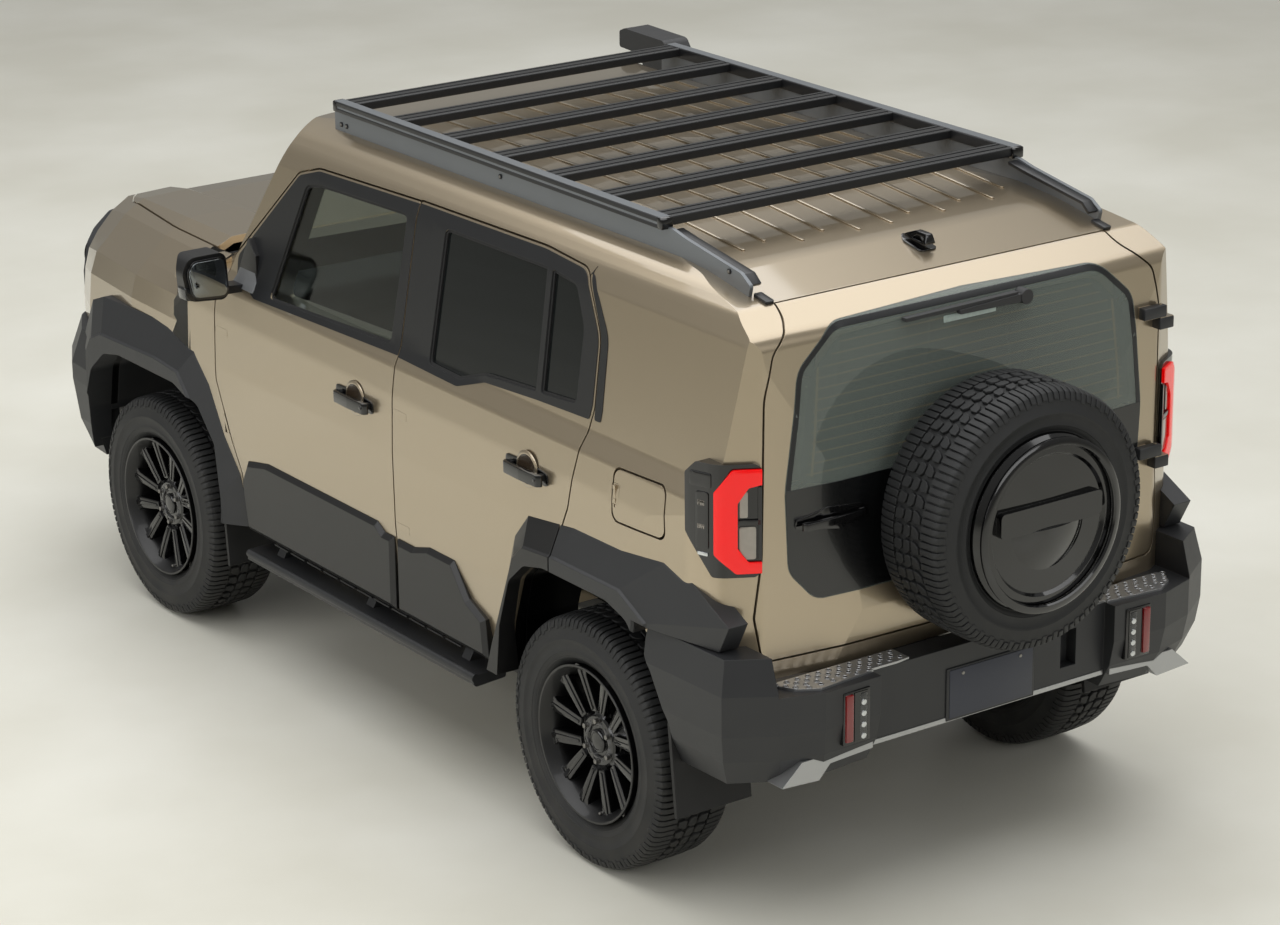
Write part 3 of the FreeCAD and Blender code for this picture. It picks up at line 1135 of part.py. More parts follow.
def rim(centre_y, x):
    """Left wheel disc: barrel, split spokes, hub and the stub that turns in the hub carrier."""
    w = TYRE_W / 2
    barrel = [
        (x - w + 8, RIM_R + 0), (x - w + 22, RIM_R - 8), (x + w - 22, RIM_R - 8), (x + w - 2, RIM_R + 2),
        (x + w - 2, RIM_R - 12), (x + w - 26, RIM_R - 24), (x + w - 60, RIM_BARREL_R), (x - w + 30, RIM_BARREL_R),
        (x - w + 8, RIM_R - 16),
    ]
    points = [V(a, 0, b) for a, b in barrel]
    solid = Part.Face(Part.makePolygon(points + [points[0]])).revolve(V(0, 0, 0), V(1, 0, 0), 360)
    face_x = x + w - 34
    spokes = []
    for i in range(SPOKES):
        for side in (-1, 1):
            spoke = prism_x([(side * 6 - 11, 40), (side * 6 + 11, 40), (side * 44 + 13, RIM_BARREL_R + 8),
                             (side * 44 - 13, RIM_BARREL_R + 8)], face_x - 34, face_x)
            spoke.rotate(V(0, 0, 0), V(1, 0, 0), i * 360.0 / SPOKES)
            spokes.append(spoke)
    hub = rod((HUB_X + 60, 0, 0), (face_x - 4, 0, 0), 78.0)
    cap = rod((face_x - 4, 0, 0), (face_x + 14, 0, 0), 36.0)
    stub = rod((HUB_X - 20, 0, 0), (HUB_X + 62, 0, 0), STUB_R)
    wheel = fuse([solid, hub, cap, stub] + spokes)
    wheel.translate(V(0, centre_y, TYRE_R))
    return wheel


SPARE_Z = 1161.0
SPARE_TYRE_Y = 2110.0


def spare_tyre():
    """Spare tyre standing on the back door."""
    solid = tyre(0.0, 0.0)
    solid.translate(V(0, 0, -TYRE_R))
    solid.rotate(V(0, 0, 0), V(0, 0, 1), 90)
    solid.translate(V(0, SPARE_TYRE_Y, SPARE_Z))
    return solid


def spare_cover():
    """Hard cover over the spare's middle: outer ring, recessed face, raised band and lower dome."""
    back = SPARE_TYRE_Y
    front = SPARE_REAR_Y
    profile = [(0, back - 40), (RIM_R - 8.3, back - 40), (RIM_R - 8.3, back + 111), (RIM_R + 12, back + 126.5),
               (RIM_R + 18, back + 128), (RIM_R + 18, front - 44),
               (RIM_R - 4, front - 22), (RIM_R - 30, front - 20), (RIM_R - 38, front - 30), (0, front - 24)]
    points = [V(r, y, 0) for r, y in profile]
    disc = Part.Face(Part.makePolygon(points + [points[0]])).revolve(V(0, 0, 0), V(0, 1, 0), 360)
    disc.translate(V(0, 0, SPARE_Z))
    band = prism_y([(-186, SPARE_Z - 4, 14), (186, SPARE_Z - 4, 14), (186, SPARE_Z + 70, 14), (-186, SPARE_Z + 70, 14)],
                   front - 40, front - 8)
    round_face = rod((0, front - 60, SPARE_Z), (0, front, SPARE_Z), RIM_R - 42)
    dome = Part.makeSphere(330.0, V(0, front - 330.0, SPARE_Z))
    dome = dome.common(round_face).common(box(-300, 300, front - 60, front, SPARE_Z - 300, SPARE_Z - 4))
    return fuse([disc, band, dome])


def spare_carrier():
    """Bracket between the back door and the spare's middle."""
    start = 1880.0
    return Part.makeCone(150.0, 110.0, SPARE_TYRE_Y - 40.0 - start, V(0, start, SPARE_Z), V(0, 1, 0))


def wiper():
    """Rear wiper, washer nozzle and stop lamp pod on the back door."""
    arm = fuse([rod((-188, 1890, 1712), (-188, 1942, 1712), 22.0),
                prism_y([(-200, 1700, 5), (-188, 1724, 5), (60, 1716, 5), (60, 1704, 5)], 1926, 1940),
                prism_y([(-160, 1716), (250, 1716), (250, 1726), (-160, 1730)], 1914, 1934)])
    return arm.cut(CAB)


FLAP_T = 13.0
FLAP_LOW_Z = 316.0


def mud_flap(top, middle):
    """Rubber flap seated on the arch's rear edge between two points, hanging below it."""
    run = (middle[0] - top[0]) / (middle[1] - top[1])
    low_y = middle[0] + (FLAP_LOW_Z - middle[1]) * run
    seat = 0.3
    return prism_x([(top[0] - seat - FLAP_T, top[1]), (top[0] - seat, top[1]), (low_y - seat, FLAP_LOW_Z, 4),
                    (low_y - seat - FLAP_T, FLAP_LOW_Z, 4)], 640, 905)


def arch_liner(wing, shell, flare_piece):
    """Left front inner arch liner, from the wing's inside in over the tyre."""
    band = prism_x(grown(ARCH_FRONT, LINER_T), 560, 900).cut(prism_x(ARCH_FRONT, 500, SIDE_OUT))
    band = band.cut(box(300, 1000, -2400, 0, 0, 600)).cut(wing).cut(shell).cut(flare_piece).cut(front_bumper_form())
    return max(band.Solids, key=lambda s: s.Volume)


def export(name, shape):
    """Write one named piece."""
    shape.exportStep("parts/%s.step" % name)


def main():
    """Build every piece and write it."""
    os.makedirs("parts", exist_ok=True)
    fl_panel, fl_glass, fl_leaves = side_door(FRONT_DOOR, [FRONT_WINDOW], FRONT_HINGE, 14.0)
    rl_panel, rl_glass, rl_leaves = side_door(REAR_DOOR, [REAR_WINDOW, QUARTER_WINDOW], REAR_HINGE, 3.0)
    side_leaves = fl_leaves + rl_leaves
    side_leaves += [flip(leaf) for leaf in side_leaves]
    bd_panel, bd_pane, bd_leaves = back_door()
    flap, flap_pin = fuel_flap()
    bonnet, wing = bonnet_and_wings()
    bonnet, bonnet_pins = bonnet_hinged(bonnet)
    shell = body_shell(side_leaves, bd_leaves + bonnet_pins, flap_pin)
    rear_fixed, rear_moving = rear_flares()
    front = front_flare()
    export("body_shell", shell)
    export("front_wings", pair(wing))
    export("bonnet", bonnet)
    export("windscreen", windscreen())
    export("grille_mask", grille_mask())
    export("headlamps", pair(lamp_block(0.0)))
    export("front_bumper", front_bumper())
    export("front_skid_plate", front_skid())
    export("wheel_arch_flares", Part.makeCompound(pair(rear_fixed).Solids + pair(front).Solids))
    export("side_steps", pair(side_step()))
    export("rear_bumper", rear_bumper())
    plate, skid, lip = bumper_metal()
    export("rear_bumper_metal", Part.makeCompound(pair(plate).Solids + pair(skid).Solids + lip.Solids))
    lamps = tail_lamp().Solids + right_tail_lamp().Solids
    export("rear_lamps", Part.makeCompound(lamps + pair(bumper_lamp()).Solids))
    export("rack_slats", rack_slats())
    export("rack_sides", pair(rack_side()))
    export("antenna_pod", antenna_pod())
    export("snorkel", snorkel())
    export("seats", seats())
    export("dashboard", dashboard())
    export("chassis_rails", pair(rail().cut(front_bumper())))
    export("crossmembers", crossmembers().cut(gearbox()))
    export("engine", engine())
    export("gearbox_and_shafts", gearbox())
    export("exhaust", exhaust())
    export("fuel_tank", fuel_tank())
    export("front_suspension", front_suspension())
    export("rear_axle", rear_axle())
    export("arch_liners", pair(arch_liner(wing, shell, front)))
    flaps = [mud_flap((REAR_AXLE_Y + 430, 600.0), (REAR_AXLE_Y + 450, 420.0)),
             mud_flap((FRONT_AXLE_Y + 475, 560.0), (FRONT_AXLE_Y + 490, 400.0))]
    flaps = [max(f.cut(shell).cut(rear_bumper()).cut(front).Solids, key=lambda s: s.Volume) for f in flaps]
    export("mud_flaps", Part.makeCompound([s for f in flaps for s in pair(f).Solids]))
    clad_f = cladding(CLAD_FRONT)
    clad_r = fuse([cladding(CLAD_REAR), rear_moving])
    trim_f = Part.makeCompound(clad_f.Solids + door_handle(5.0, 1116.0).Solids + door_mirror().Solids)
    trim_r = Part.makeCompound(clad_r.Solids + door_handle(967.0, 1150.0).Solids)
    for side, turn in (("left", lambda s: s), ("right", flip)):
        export("door_front_" + side, turn(fl_panel))
        export("door_rear_" + side, turn(rl_panel))
        export("glass_front_" + side, turn(fl_glass))
        export("glass_rear_" + side, turn(rl_glass))
        export("trim_front_" + side, turn(trim_f))
        export("trim_rear_" + side, turn(trim_r))
        export("knuckle_" + side, turn(knuckle()))
        for end, y in (("front", FRONT_AXLE_Y), ("rear", REAR_AXLE_Y)):
            export("tyre_%s_%s" % (end, side), turn(tyre(y, TRACK_HALF)))
            export("rim_%s_%s" % (end, side), turn(rim(y, TRACK_HALF)))
    export("back_door", fuse([bd_panel, spare_carrier()]))
    export("back_glass", bd_pane.cut(spare_carrier()))
    export("spare_tyre", spare_tyre())
    export("spare_cover", spare_cover())
    export("rear_wiper", wiper())
    export("fuel_flap", flap)


if __name__ == "__main__":
    main()
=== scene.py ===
"""Looks of a lifted off-road 4x4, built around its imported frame."""
import json
import logging
import math
from dataclasses import dataclass, field
from enum import Enum
from functools import partial
from typing import Callable, Iterable, Sequence

import bmesh
import bpy
from mathutils import Matrix, Vector

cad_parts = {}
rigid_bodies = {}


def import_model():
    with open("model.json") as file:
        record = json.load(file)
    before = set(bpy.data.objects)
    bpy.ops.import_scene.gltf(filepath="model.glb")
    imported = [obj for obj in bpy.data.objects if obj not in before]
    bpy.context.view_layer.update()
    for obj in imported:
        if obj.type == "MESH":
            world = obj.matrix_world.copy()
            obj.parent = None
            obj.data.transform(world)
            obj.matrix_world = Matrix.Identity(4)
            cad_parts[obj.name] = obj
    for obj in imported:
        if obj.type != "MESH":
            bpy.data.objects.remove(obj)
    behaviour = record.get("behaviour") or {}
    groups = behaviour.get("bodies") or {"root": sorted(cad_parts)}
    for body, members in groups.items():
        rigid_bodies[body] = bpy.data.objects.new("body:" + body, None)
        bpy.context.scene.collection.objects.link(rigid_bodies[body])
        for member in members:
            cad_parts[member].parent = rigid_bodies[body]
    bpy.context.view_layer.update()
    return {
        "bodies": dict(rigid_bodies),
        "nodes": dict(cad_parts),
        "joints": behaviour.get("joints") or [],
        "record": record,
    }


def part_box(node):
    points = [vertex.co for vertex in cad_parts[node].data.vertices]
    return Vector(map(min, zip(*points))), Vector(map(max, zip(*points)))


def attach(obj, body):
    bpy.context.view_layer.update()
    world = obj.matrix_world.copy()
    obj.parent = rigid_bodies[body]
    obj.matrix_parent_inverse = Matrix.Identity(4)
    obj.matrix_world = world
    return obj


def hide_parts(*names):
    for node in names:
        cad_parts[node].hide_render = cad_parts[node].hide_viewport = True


LOG = logging.getLogger("offroader")

Corner = tuple[float, ...]
Flat = list[tuple[float, float]]
Solid = bmesh.types.BMesh
Socket = bpy.types.NodeSocket
Light = tuple[float, float, float, float]

MM = 0.001
AXLE_Z = 387.5
REAR_AXLE_Y = 1279.5
FRONT_AXLE_Y = -1300.5
BODY_HALF = 883.0
SIDES = ("left", "right")
ENDS = ("front", "rear")
ACROSS, AHEAD, BEHIND, UP = (1, 0, 0), (0, -1, 0), (0, 1, 0), (0, 0, 1)

# The stone guard's half width, its rise over the axles and its reach along each arch, in metres.
GUARD_X = 0.868
GUARD_Z = 0.520
GUARD_FRONT = 0.510
GUARD_REAR = 0.468
GUARD_LIGHT = (0.010, 0.010, 0.011, 1.0)
DUST_LIGHT = (0.36, 0.32, 0.26, 1.0)
COAT_ROUGH = 0.04
GLASS_IOR = 1.45
BUMP_DEPTH = 0.001

# How far trim stands off a surface, and the lift and thickness of a painted skin over a hinge pocket, in millimetres.
TRIM_LIFT = 0.1
SKIN = (0.05, 0.4)


class Plane(Enum):
    """Plane of a flat outline: the two axes that it is drawn in, then the axis that it is pushed along."""

    SIDE = (1, 2, 0)
    REAR = (0, 2, 1)
    TOP = (0, 1, 2)


# Shader groups


class Wiring:
    """Short calls that place and join the nodes of one tree."""

    def __init__(self, tree: bpy.types.NodeTree) -> None:
        """Work on this tree."""
        self.tree = tree

    def feed(self, node: bpy.types.Node, given: dict[str | int, object]) -> bpy.types.Node:
        """Give a node its inputs.

        Args:
            node: the node.
            given: what each input gets: a socket is joined, a number or colour set on the input itself.

        Returns:
            The same node.
        """
        for label, value in given.items():
            if isinstance(value, Socket):
                self.tree.links.new(value, node.inputs[label])
            else:
                node.inputs[label].default_value = value
        return node

    def node(self, kind: str, given: dict[str | int, object] | None = None, **settings: object) -> bpy.types.Node:
        """New node of a kind.

        Args:
            kind: node type without its leading ShaderNode, or NodeGroupInput or NodeGroupOutput.
            given: its inputs, as for feed.
            settings: attributes of the node.

        Returns:
            The node.
        """
        made = self.tree.nodes.new(kind if kind.startswith("Node") else "ShaderNode" + kind)
        for key, value in settings.items():
            setattr(made, key, value)
        return self.feed(made, given or {})

    def sum(self, how: str, first: object, second: object = 0.0, clamp: bool = False) -> Socket:
        """Math node on two values or sockets.

        Args:
            how: operation of the Math node.
            first: left value or socket.
            second: right value or socket.
            clamp: keep the result between 0 and 1.

        Returns:
            The result's socket.
        """
        return self.node("Math", {0: first, 1: second}, operation=how, use_clamp=clamp).outputs[0]

    def noise(self, place: Socket, scale: object, detail: float) -> Socket:
        """Noise between 0 and 1 at a place, with so many cells a metre."""
        return self.node("TexNoise", {"Vector": place, "Scale": scale, "Detail": detail}).outputs["Fac"]

    def over(self, mask: Socket, under: Socket, light: Light) -> Socket:
        """Colour laid over another where a mask says."""
        return self.node("Mix", {"Factor": mask, 6: under, 7: light}, data_type="RGBA").outputs[2]

    def ramp(self, value: Socket, *stops: tuple[float, Light]) -> Socket:
        """Colour that runs between two stops."""
        made = self.node("ValToRGB", {"Fac": value})
        for k, (place, light) in enumerate(stops):
            made.color_ramp.elements[k].position = place
            made.color_ramp.elements[k].color = light
        return made.outputs["Color"]


class Effects:
    """The shader groups that the finishes share, each built once."""

    def __init__(self) -> None:
        """Start with none built."""
        self.built: dict[str, bpy.types.NodeTree] = {}
        self.sockets: dict[str, tuple[str, str, dict[str, float]]] = {
            "grain": ("moulded_grain", "Height", {"Scale": 400.0}),
            "mottle": ("slow_mottle", "Value", {"Scale": 6.0, "Amount": 0.1}),
            "dust": ("road_dust", "Mask", {"Amount": 0.2, "Reach": 0.9}),
            "guard": ("stone_guard", "Mask", {}),
            "weave": ("woven_cloth", "Height", {"Scale": 300.0}),
        }

    def get(self, name: str) -> bpy.types.NodeTree:
        """Group by name, built at its first use.

        Args:
            name: grain, mottle, dust, guard or weave.

        Returns:
            The group.
        """
        if name not in self.built:
            title, result, inputs = self.sockets[name]
            group = bpy.data.node_groups.new(title, "ShaderNodeTree")
            for label, value in inputs.items():
                socket = group.interface.new_socket(label, in_out="INPUT", socket_type="NodeSocketFloat")
                socket.default_value = value
            group.interface.new_socket(result, in_out="OUTPUT", socket_type="NodeSocketFloat")
            wire = Wiring(group)
            place = wire.node("TexCoord").outputs["Object"]
            given = dict(wire.node("NodeGroupInput").outputs.items())
            made = getattr(self, "_" + name)(wire, place, given)
            wire.node("NodeGroupOutput", {result: made})
            self.built[name] = group
        return self.built[name]

    def _grain(self, wire: Wiring, place: Socket, given: dict[str, Socket]) -> Socket:
        """Moulded grain: a height from two sizes of noise."""
        cells = wire.node("TexVoronoi", {"Randomness": 0.9, "Vector": place, "Scale": given["Scale"]}, feature="F1")
        return wire.sum("ADD", cells.outputs["Distance"], wire.sum("MULTIPLY", wire.noise(place, 90.0, 4.0), 0.6))

    def _mottle(self, wire: Wiring, place: Socket, given: dict[str, Socket]) -> Socket:
        """Slow change over a surface, around a middle of 1."""
        off = wire.sum("SUBTRACT", wire.noise(place, given["Scale"], 5.0), 0.5)
        return wire.sum("ADD", wire.sum("MULTIPLY", wire.sum("MULTIPLY", off, given["Amount"]), 2.0), 1.0)

    def _dust(self, wire: Wiring, place: Socket, given: dict[str, Socket]) -> Socket:
        """Patchy dust mask, more towards the ground."""
        height = wire.node("SeparateXYZ", {0: place}).outputs["Z"]
        low = wire.sum("SUBTRACT", 1.0, wire.sum("DIVIDE", height, given["Reach"]), True)
        patch = wire.sum("SUBTRACT", wire.noise(place, 14.0, 6.0), 0.32, True)
        return wire.sum("MULTIPLY", wire.sum("MULTIPLY", low, patch), given["Amount"], True)

    def _guard(self, wire: Wiring, place: Socket, given: dict[str, Socket]) -> Socket:
        """Mask of the black stone guard sprayed inside the four wheel arches."""
        x, y, z = wire.node("SeparateXYZ", {0: place}).outputs
        inside = wire.sum("SUBTRACT", GUARD_X, wire.sum("ABSOLUTE", x))
        rise = wire.sum("ABSOLUTE", wire.sum("DIVIDE", wire.sum("SUBTRACT", z, AXLE_Z * MM), GUARD_Z))
        ends = []
        for axle, reach in ((FRONT_AXLE_Y, GUARD_FRONT), (REAR_AXLE_Y, GUARD_REAR)):
            run = wire.sum("ABSOLUTE", wire.sum("DIVIDE", wire.sum("SUBTRACT", y, axle * MM), reach))
            far = wire.sum("ADD", wire.sum("POWER", run, 4.0), wire.sum("POWER", rise, 4.0))
            ends.append(wire.sum("MULTIPLY", wire.sum("SUBTRACT", 1.0, far), 60.0, True))
        return wire.sum("MULTIPLY", wire.sum("MAXIMUM", *ends), wire.sum("MULTIPLY", inside, 400.0, True), True)

    def _weave(self, wire: Wiring, place: Socket, given: dict[str, Socket]) -> Socket:
        """Woven cloth: the height of crossing threads."""
        x, y, z = (wire.node("TexWave", {"Distortion": 0.4, "Vector": place, "Scale": given["Scale"]},
                             bands_direction=direction).outputs["Fac"] for direction in "XYZ")
        return wire.sum("MAXIMUM", wire.sum("MULTIPLY", x, y), z)


EFFECTS = Effects()


@dataclass(frozen=True)
class Finish:
    """One surface finish, with its colour as it looks on screen (0 to 255)."""

    name: str
    rgb: tuple[int, int, int]
    rough: float
    metal: float = 0.0
    coat: float = 0.0
    grain: float = 0.0
    grain_scale: float = 420.0
    mottle: float = 0.06
    mottle_scale: float = 7.0
    dust: float = 0.0
    sheen: float = 0.0
    clear: float = 0.0
    glow: float = 0.0
    edge: float = 0.0015
    weave: float = 0.0
    guard: bool = False

    def linear(self) -> Light:
        """Colour as light values, with an alpha of 1."""
        parts = [c / 255.0 for c in self.rgb]
        return (*[p / 12.92 if p <= 0.04045 else ((p + 0.055) / 1.055) ** 2.4 for p in parts], 1.0)

    def material(self) -> bpy.types.Material:
        """The finish's material, made at its first use."""
        have = bpy.data.materials.get("finish_" + self.name)
        return have or self._build()

    def _group(self, wire: Wiring, name: str, given: dict[str, float]) -> Socket:
        """Result of one of the shared groups, with this finish's values."""
        return wire.node("Group", given, node_tree=EFFECTS.get(name)).outputs[0]

    def _build(self) -> bpy.types.Material:
        """Node tree of the finish."""
        made = bpy.data.materials.new("finish_" + self.name)
        made.use_nodes = True
        made.diffuse_color = self.linear()
        wire = Wiring(made.node_tree)
        shader = wire.feed(made.node_tree.nodes["Principled BSDF"], {
            "Base Color": self.linear(), "Metallic": self.metal, "Roughness": self.rough, "Coat Weight": self.coat,
            "Coat Roughness": COAT_ROUGH, "Sheen Weight": self.sheen, "Transmission Weight": self.clear})
        if self.clear:
            wire.feed(shader, {"IOR": GLASS_IOR})
        if self.mottle:
            self._colour(wire, shader)
            self._gloss(wire, shader)
        self._relief(wire, shader)
        if self.glow:
            wire.feed(shader, {"Emission Color": self.linear(), "Emission Strength": self.glow})
        return made

    def _colour(self, wire: Wiring, shader: bpy.types.Node) -> None:
        """Base colour: the finish's own, mottled, and dusted or blackened where it is."""
        mottle = self._group(wire, "mottle", {"Scale": self.mottle_scale, "Amount": self.mottle})
        colour = wire.node("HueSaturation", {"Color": self.linear(), "Value": mottle}).outputs["Color"]
        if self.dust:
            colour = wire.over(self._group(wire, "dust", {"Amount": self.dust}), colour, DUST_LIGHT)
        if self.guard:
            mask = self._group(wire, "guard", {})
            colour = wire.over(mask, colour, GUARD_LIGHT)
            bare = wire.sum("SUBTRACT", 1.0, mask)
            wire.feed(shader, {"Coat Weight": wire.sum("MULTIPLY", bare, self.coat)})
        wire.feed(shader, {"Base Color": colour})

    def _gloss(self, wire: Wiring, shader: bpy.types.Node) -> None:
        """Roughness that changes a little over the surface, in finer patches than the colour."""
        amount = min(0.10, self.mottle * 1.5)
        mottle = self._group(wire, "mottle", {"Scale": self.mottle_scale * 4.0, "Amount": amount})
        wire.feed(shader, {"Roughness": wire.sum("MULTIPLY", mottle, self.rough, True)})

    def _relief(self, wire: Wiring, shader: bpy.types.Node) -> None:
        """Rounded edges, with grain or weave over them."""
        given: dict[str, object] = {}
        if self.edge:
            given["Normal"] = wire.node("Bevel", {"Radius": self.edge}, samples=4).outputs["Normal"]
        if self.grain or self.weave:
            relief = self._group(wire, "grain" if self.grain else "weave", {"Scale": self.grain_scale})
            given |= {"Height": relief, "Distance": BUMP_DEPTH, "Strength": self.grain or self.weave}
            given = {"Normal": wire.node("Bump", given).outputs["Normal"]}
        wire.feed(shader, given)


PAINT = Finish("bronze_paint", (176, 161, 137), 0.28, metal=0.85, coat=1.0, mottle=0.006, guard=True)
CLAD = Finish("clad_plastic", (38, 39, 41), 0.44, grain=0.07, mottle=0.08, dust=0.06, edge=0.003)
# Darker copy of the clad plastic for the trim nodes: real black plastic, darkened further as painted shade.
CLAD_PAINTED_SHADE = Finish("clad_painted_shade", (22, 22, 23), 0.34, grain=0.05, mottle=0.06, dust=0.03, edge=0.003)
GLOSS = Finish("gloss_black", (9, 9, 10), 0.10, coat=0.5, mottle=0.04, edge=0.002)
SATIN = Finish("satin_black", (25, 26, 28), 0.36, mottle=0.05)
SILVER = Finish("silver_metal", (176, 177, 178), 0.34, metal=0.85, mottle=0.05, grain=0.04)
RACK_GREY = Finish("rack_grey", (120, 124, 128), 0.40, metal=0.55, mottle=0.05)
RUBBER = Finish("rubber_seal", (20, 20, 21), 0.60, grain=0.08)
TYRE = Finish("tyre_rubber", (27, 28, 29), 0.62, grain=0.14, grain_scale=260.0, mottle=0.12, dust=0.12)
CLEAR_GLASS = Finish("clear_glass", (196, 204, 200), 0.02, clear=1.0, mottle=0.0, edge=0.0)
DARK_GLASS = Finish("privacy_glass", (40, 44, 44), 0.03, clear=0.6, mottle=0.0, edge=0.0)
TINT_GLASS = Finish("tinted_glass", (140, 150, 144), 0.03, clear=0.6, mottle=0.0, edge=0.0)
RED_LENS = Finish("red_lens", (226, 0, 2), 0.14, coat=0.35, mottle=0.05, glow=0.32)
CELL_LENS = Finish("cell_lens", (150, 144, 136), 0.16, metal=0.5, coat=1.0, mottle=0.20, mottle_scale=40.0)
DEEP_RED = Finish("reflector_red", (120, 12, 16), 0.14, coat=1.0, mottle=0.10, mottle_scale=60.0)
SMOKED_LENS = Finish("smoked_lens", (70, 74, 78), 0.04, clear=0.85, coat=1.0, edge=0.0)
BRIGHT = Finish("bright_reflector", (205, 208, 210), 0.12, metal=1.0, mottle=0.12, mottle_scale=40.0)
# Amber heater lines with a glow: painted light, as the lines are no lamp.
AMBER_LINE_PAINTED_GLOW = Finish("painted_glow_heater_line", (236, 176, 84), 0.45, mottle=0.05, glow=0.25, edge=0.0)
# Dark brown of the handle bowls: painted shade of a recess that the door's surface doesn't have.
BOWL_PAINTED_SHADE = Finish("handle_bowl", (58, 48, 38), 0.22, coat=0.6, mottle=0.0)
WHEEL_BLACK = Finish("wheel_black", (13, 13, 14), 0.40, coat=0.2, mottle=0.05)
# Lighter metal grey on the black wheels' petals: painted highlight.
WHEEL_FACE_PAINTED_HIGHLIGHT = Finish("wheel_face_painted_highlight", (74, 74, 76), 0.16, metal=0.8, coat=0.6, mottle=0.05)
CHASSIS = Finish("chassis_black", (30, 31, 32), 0.55, grain=0.10, dust=0.45, mottle=0.10)
IRON = Finish("cast_iron", (66, 64, 62), 0.60, metal=0.5, grain=0.25, dust=0.35, mottle=0.12)
STEEL = Finish("bare_steel", (138, 136, 132), 0.36, metal=0.9, mottle=0.12, dust=0.20)
CABIN = Finish("cabin_trim", (46, 46, 47), 0.62, grain=0.18, mottle=0.06)
CLOTH = Finish("seat_cloth", (52, 52, 54), 0.86, weave=0.35, grain_scale=320.0, sheen=0.3, mottle=0.12)
MIRROR = Finish("mirror_glass", (150, 156, 160), 0.03, metal=1.0, mottle=0.0)
PLATE_GREY = Finish("sail_plate", (128, 130, 133), 0.40, metal=0.4, mottle=0.06)
PLATE_DARK = Finish("blank_plate", (52, 55, 66), 0.42, grain=0.05, mottle=0.05)
PANEL_BLACK = Finish("panel_black", (14, 15, 16), 0.22, coat=0.4, mottle=0.06)
STOP_STRIP = Finish("stop_strip", (176, 192, 186), 0.25, coat=0.6, mottle=0.20, mottle_scale=90.0)
WHITE_RING = Finish("lamp_ring", (214, 218, 222), 0.18, coat=0.8, mottle=0.03, glow=0.15)
HOLE_PAINTED_SHADE = Finish("punched_hole_painted_shade", (16, 16, 17), 0.70, mottle=0.05)
# Black of the step plates' hole openings: painted shade of the holes.
LEATHER = Finish("seat_leather", (30, 30, 32), 0.48, grain=0.22, grain_scale=300.0, mottle=0.08)

SLOT_FINISH = {
    "paint": PAINT, "shell_paint": PAINT, "clad_black": CLAD, "gloss_black": GLOSS, "silver": SILVER,
    "glass_clear": CLEAR_GLASS, "glass_dark": DARK_GLASS, "lamp_red": RED_LENS, "lamp_clear": SMOKED_LENS,
    "rack_black": SATIN, "rack_grey": RACK_GREY, "tyre": TYRE, "rim": GLOSS, "cabin_trim": CABIN,
    "cloth": CLOTH, "frame": CHASSIS, "iron": IRON, "steel": STEEL, "rubber": RUBBER,
}


# Solids in millimetres


def linked(name: str, data: bpy.types.ID) -> bpy.types.Object:
    """New object of some data, in the scene."""
    made = bpy.data.objects.new(name, data)
    bpy.context.scene.collection.objects.link(made)
    return made


def extent(node: str) -> tuple[Vector, Vector]:
    """Lowest and highest corner of a CAD node, in millimetres."""
    low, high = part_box(node)
    return low / MM, high / MM


def as_mesh(solid: Solid, name: str) -> bpy.types.Mesh:
    """Mesh of a solid, which is used up."""
    mesh = bpy.data.meshes.new(name)
    solid.to_mesh(mesh)
    solid.free()
    return mesh


def rounded(corners: Iterable[Corner], steps: int = 5) -> Flat:
    """Closed outline through corners, some of which carry a radius.

    Args:
        corners: (a, b) or (a, b, radius) of each corner.
        steps: spans of each round corner.

    Returns:
        The outline's points.
    """
    corners = list(corners)
    points: Flat = []
    for i, corner in enumerate(corners):
        here = Vector(corner[:2])
        if len(corner) < 3 or corner[2] <= 0:
            points.append((here.x, here.y))
            continue
        before = (Vector(corners[i - 1][:2]) - here).normalized()
        after = (Vector(corners[(i + 1) % len(corners)][:2]) - here).normalized()
        half = max(before.angle(after) / 2, 0.05)
        reach = corner[2] / math.tan(half)
        a, b = here + before * reach, here + after * reach
        for k in range(steps + 1):
            t = k / steps
            p = a * (1 - t) ** 2 + here * 2 * t * (1 - t) + b * t ** 2
            points.append((p.x, p.y))
    return points


def grown(outline: Flat, amount: float) -> Flat:
    """Outline moved outwards by an amount, point by point.

    Args:
        outline: closed outline.
        amount: distance, inwards when negative.

    Returns:
        As many points.
    """
    area = sum(a[0] * b[1] - b[0] * a[1] for a, b in zip(outline, outline[1:] + outline[:1]))
    turn = 1.0 if area > 0 else -1.0
    moved: Flat = []
    for i, point in enumerate(outline):
        here = Vector(point)
        before = (here - Vector(outline[i - 1]))
        after = (Vector(outline[(i + 1) % len(outline)]) - here)
        if before.length < 1e-6 or after.length < 1e-6:
            before = after = before if before.length > after.length else after
        n1 = Vector((before.y, -before.x)).normalized() * turn
        n2 = Vector((after.y, -after.x)).normalized() * turn
        mid = (n1 + n2).normalized()
        spread = max(mid.dot(n1), 0.35)
        moved.append(tuple(here + mid * (amount / spread)))
    return moved


def placed_point(plane: Plane, a: float, b: float, depth: float) -> Vector:
    """Point of an outline in space."""
    point = Vector((0.0, 0.0, 0.0))
    for axis, value in zip(plane.value, (a, b, depth)):
        point[axis] = value
    return point


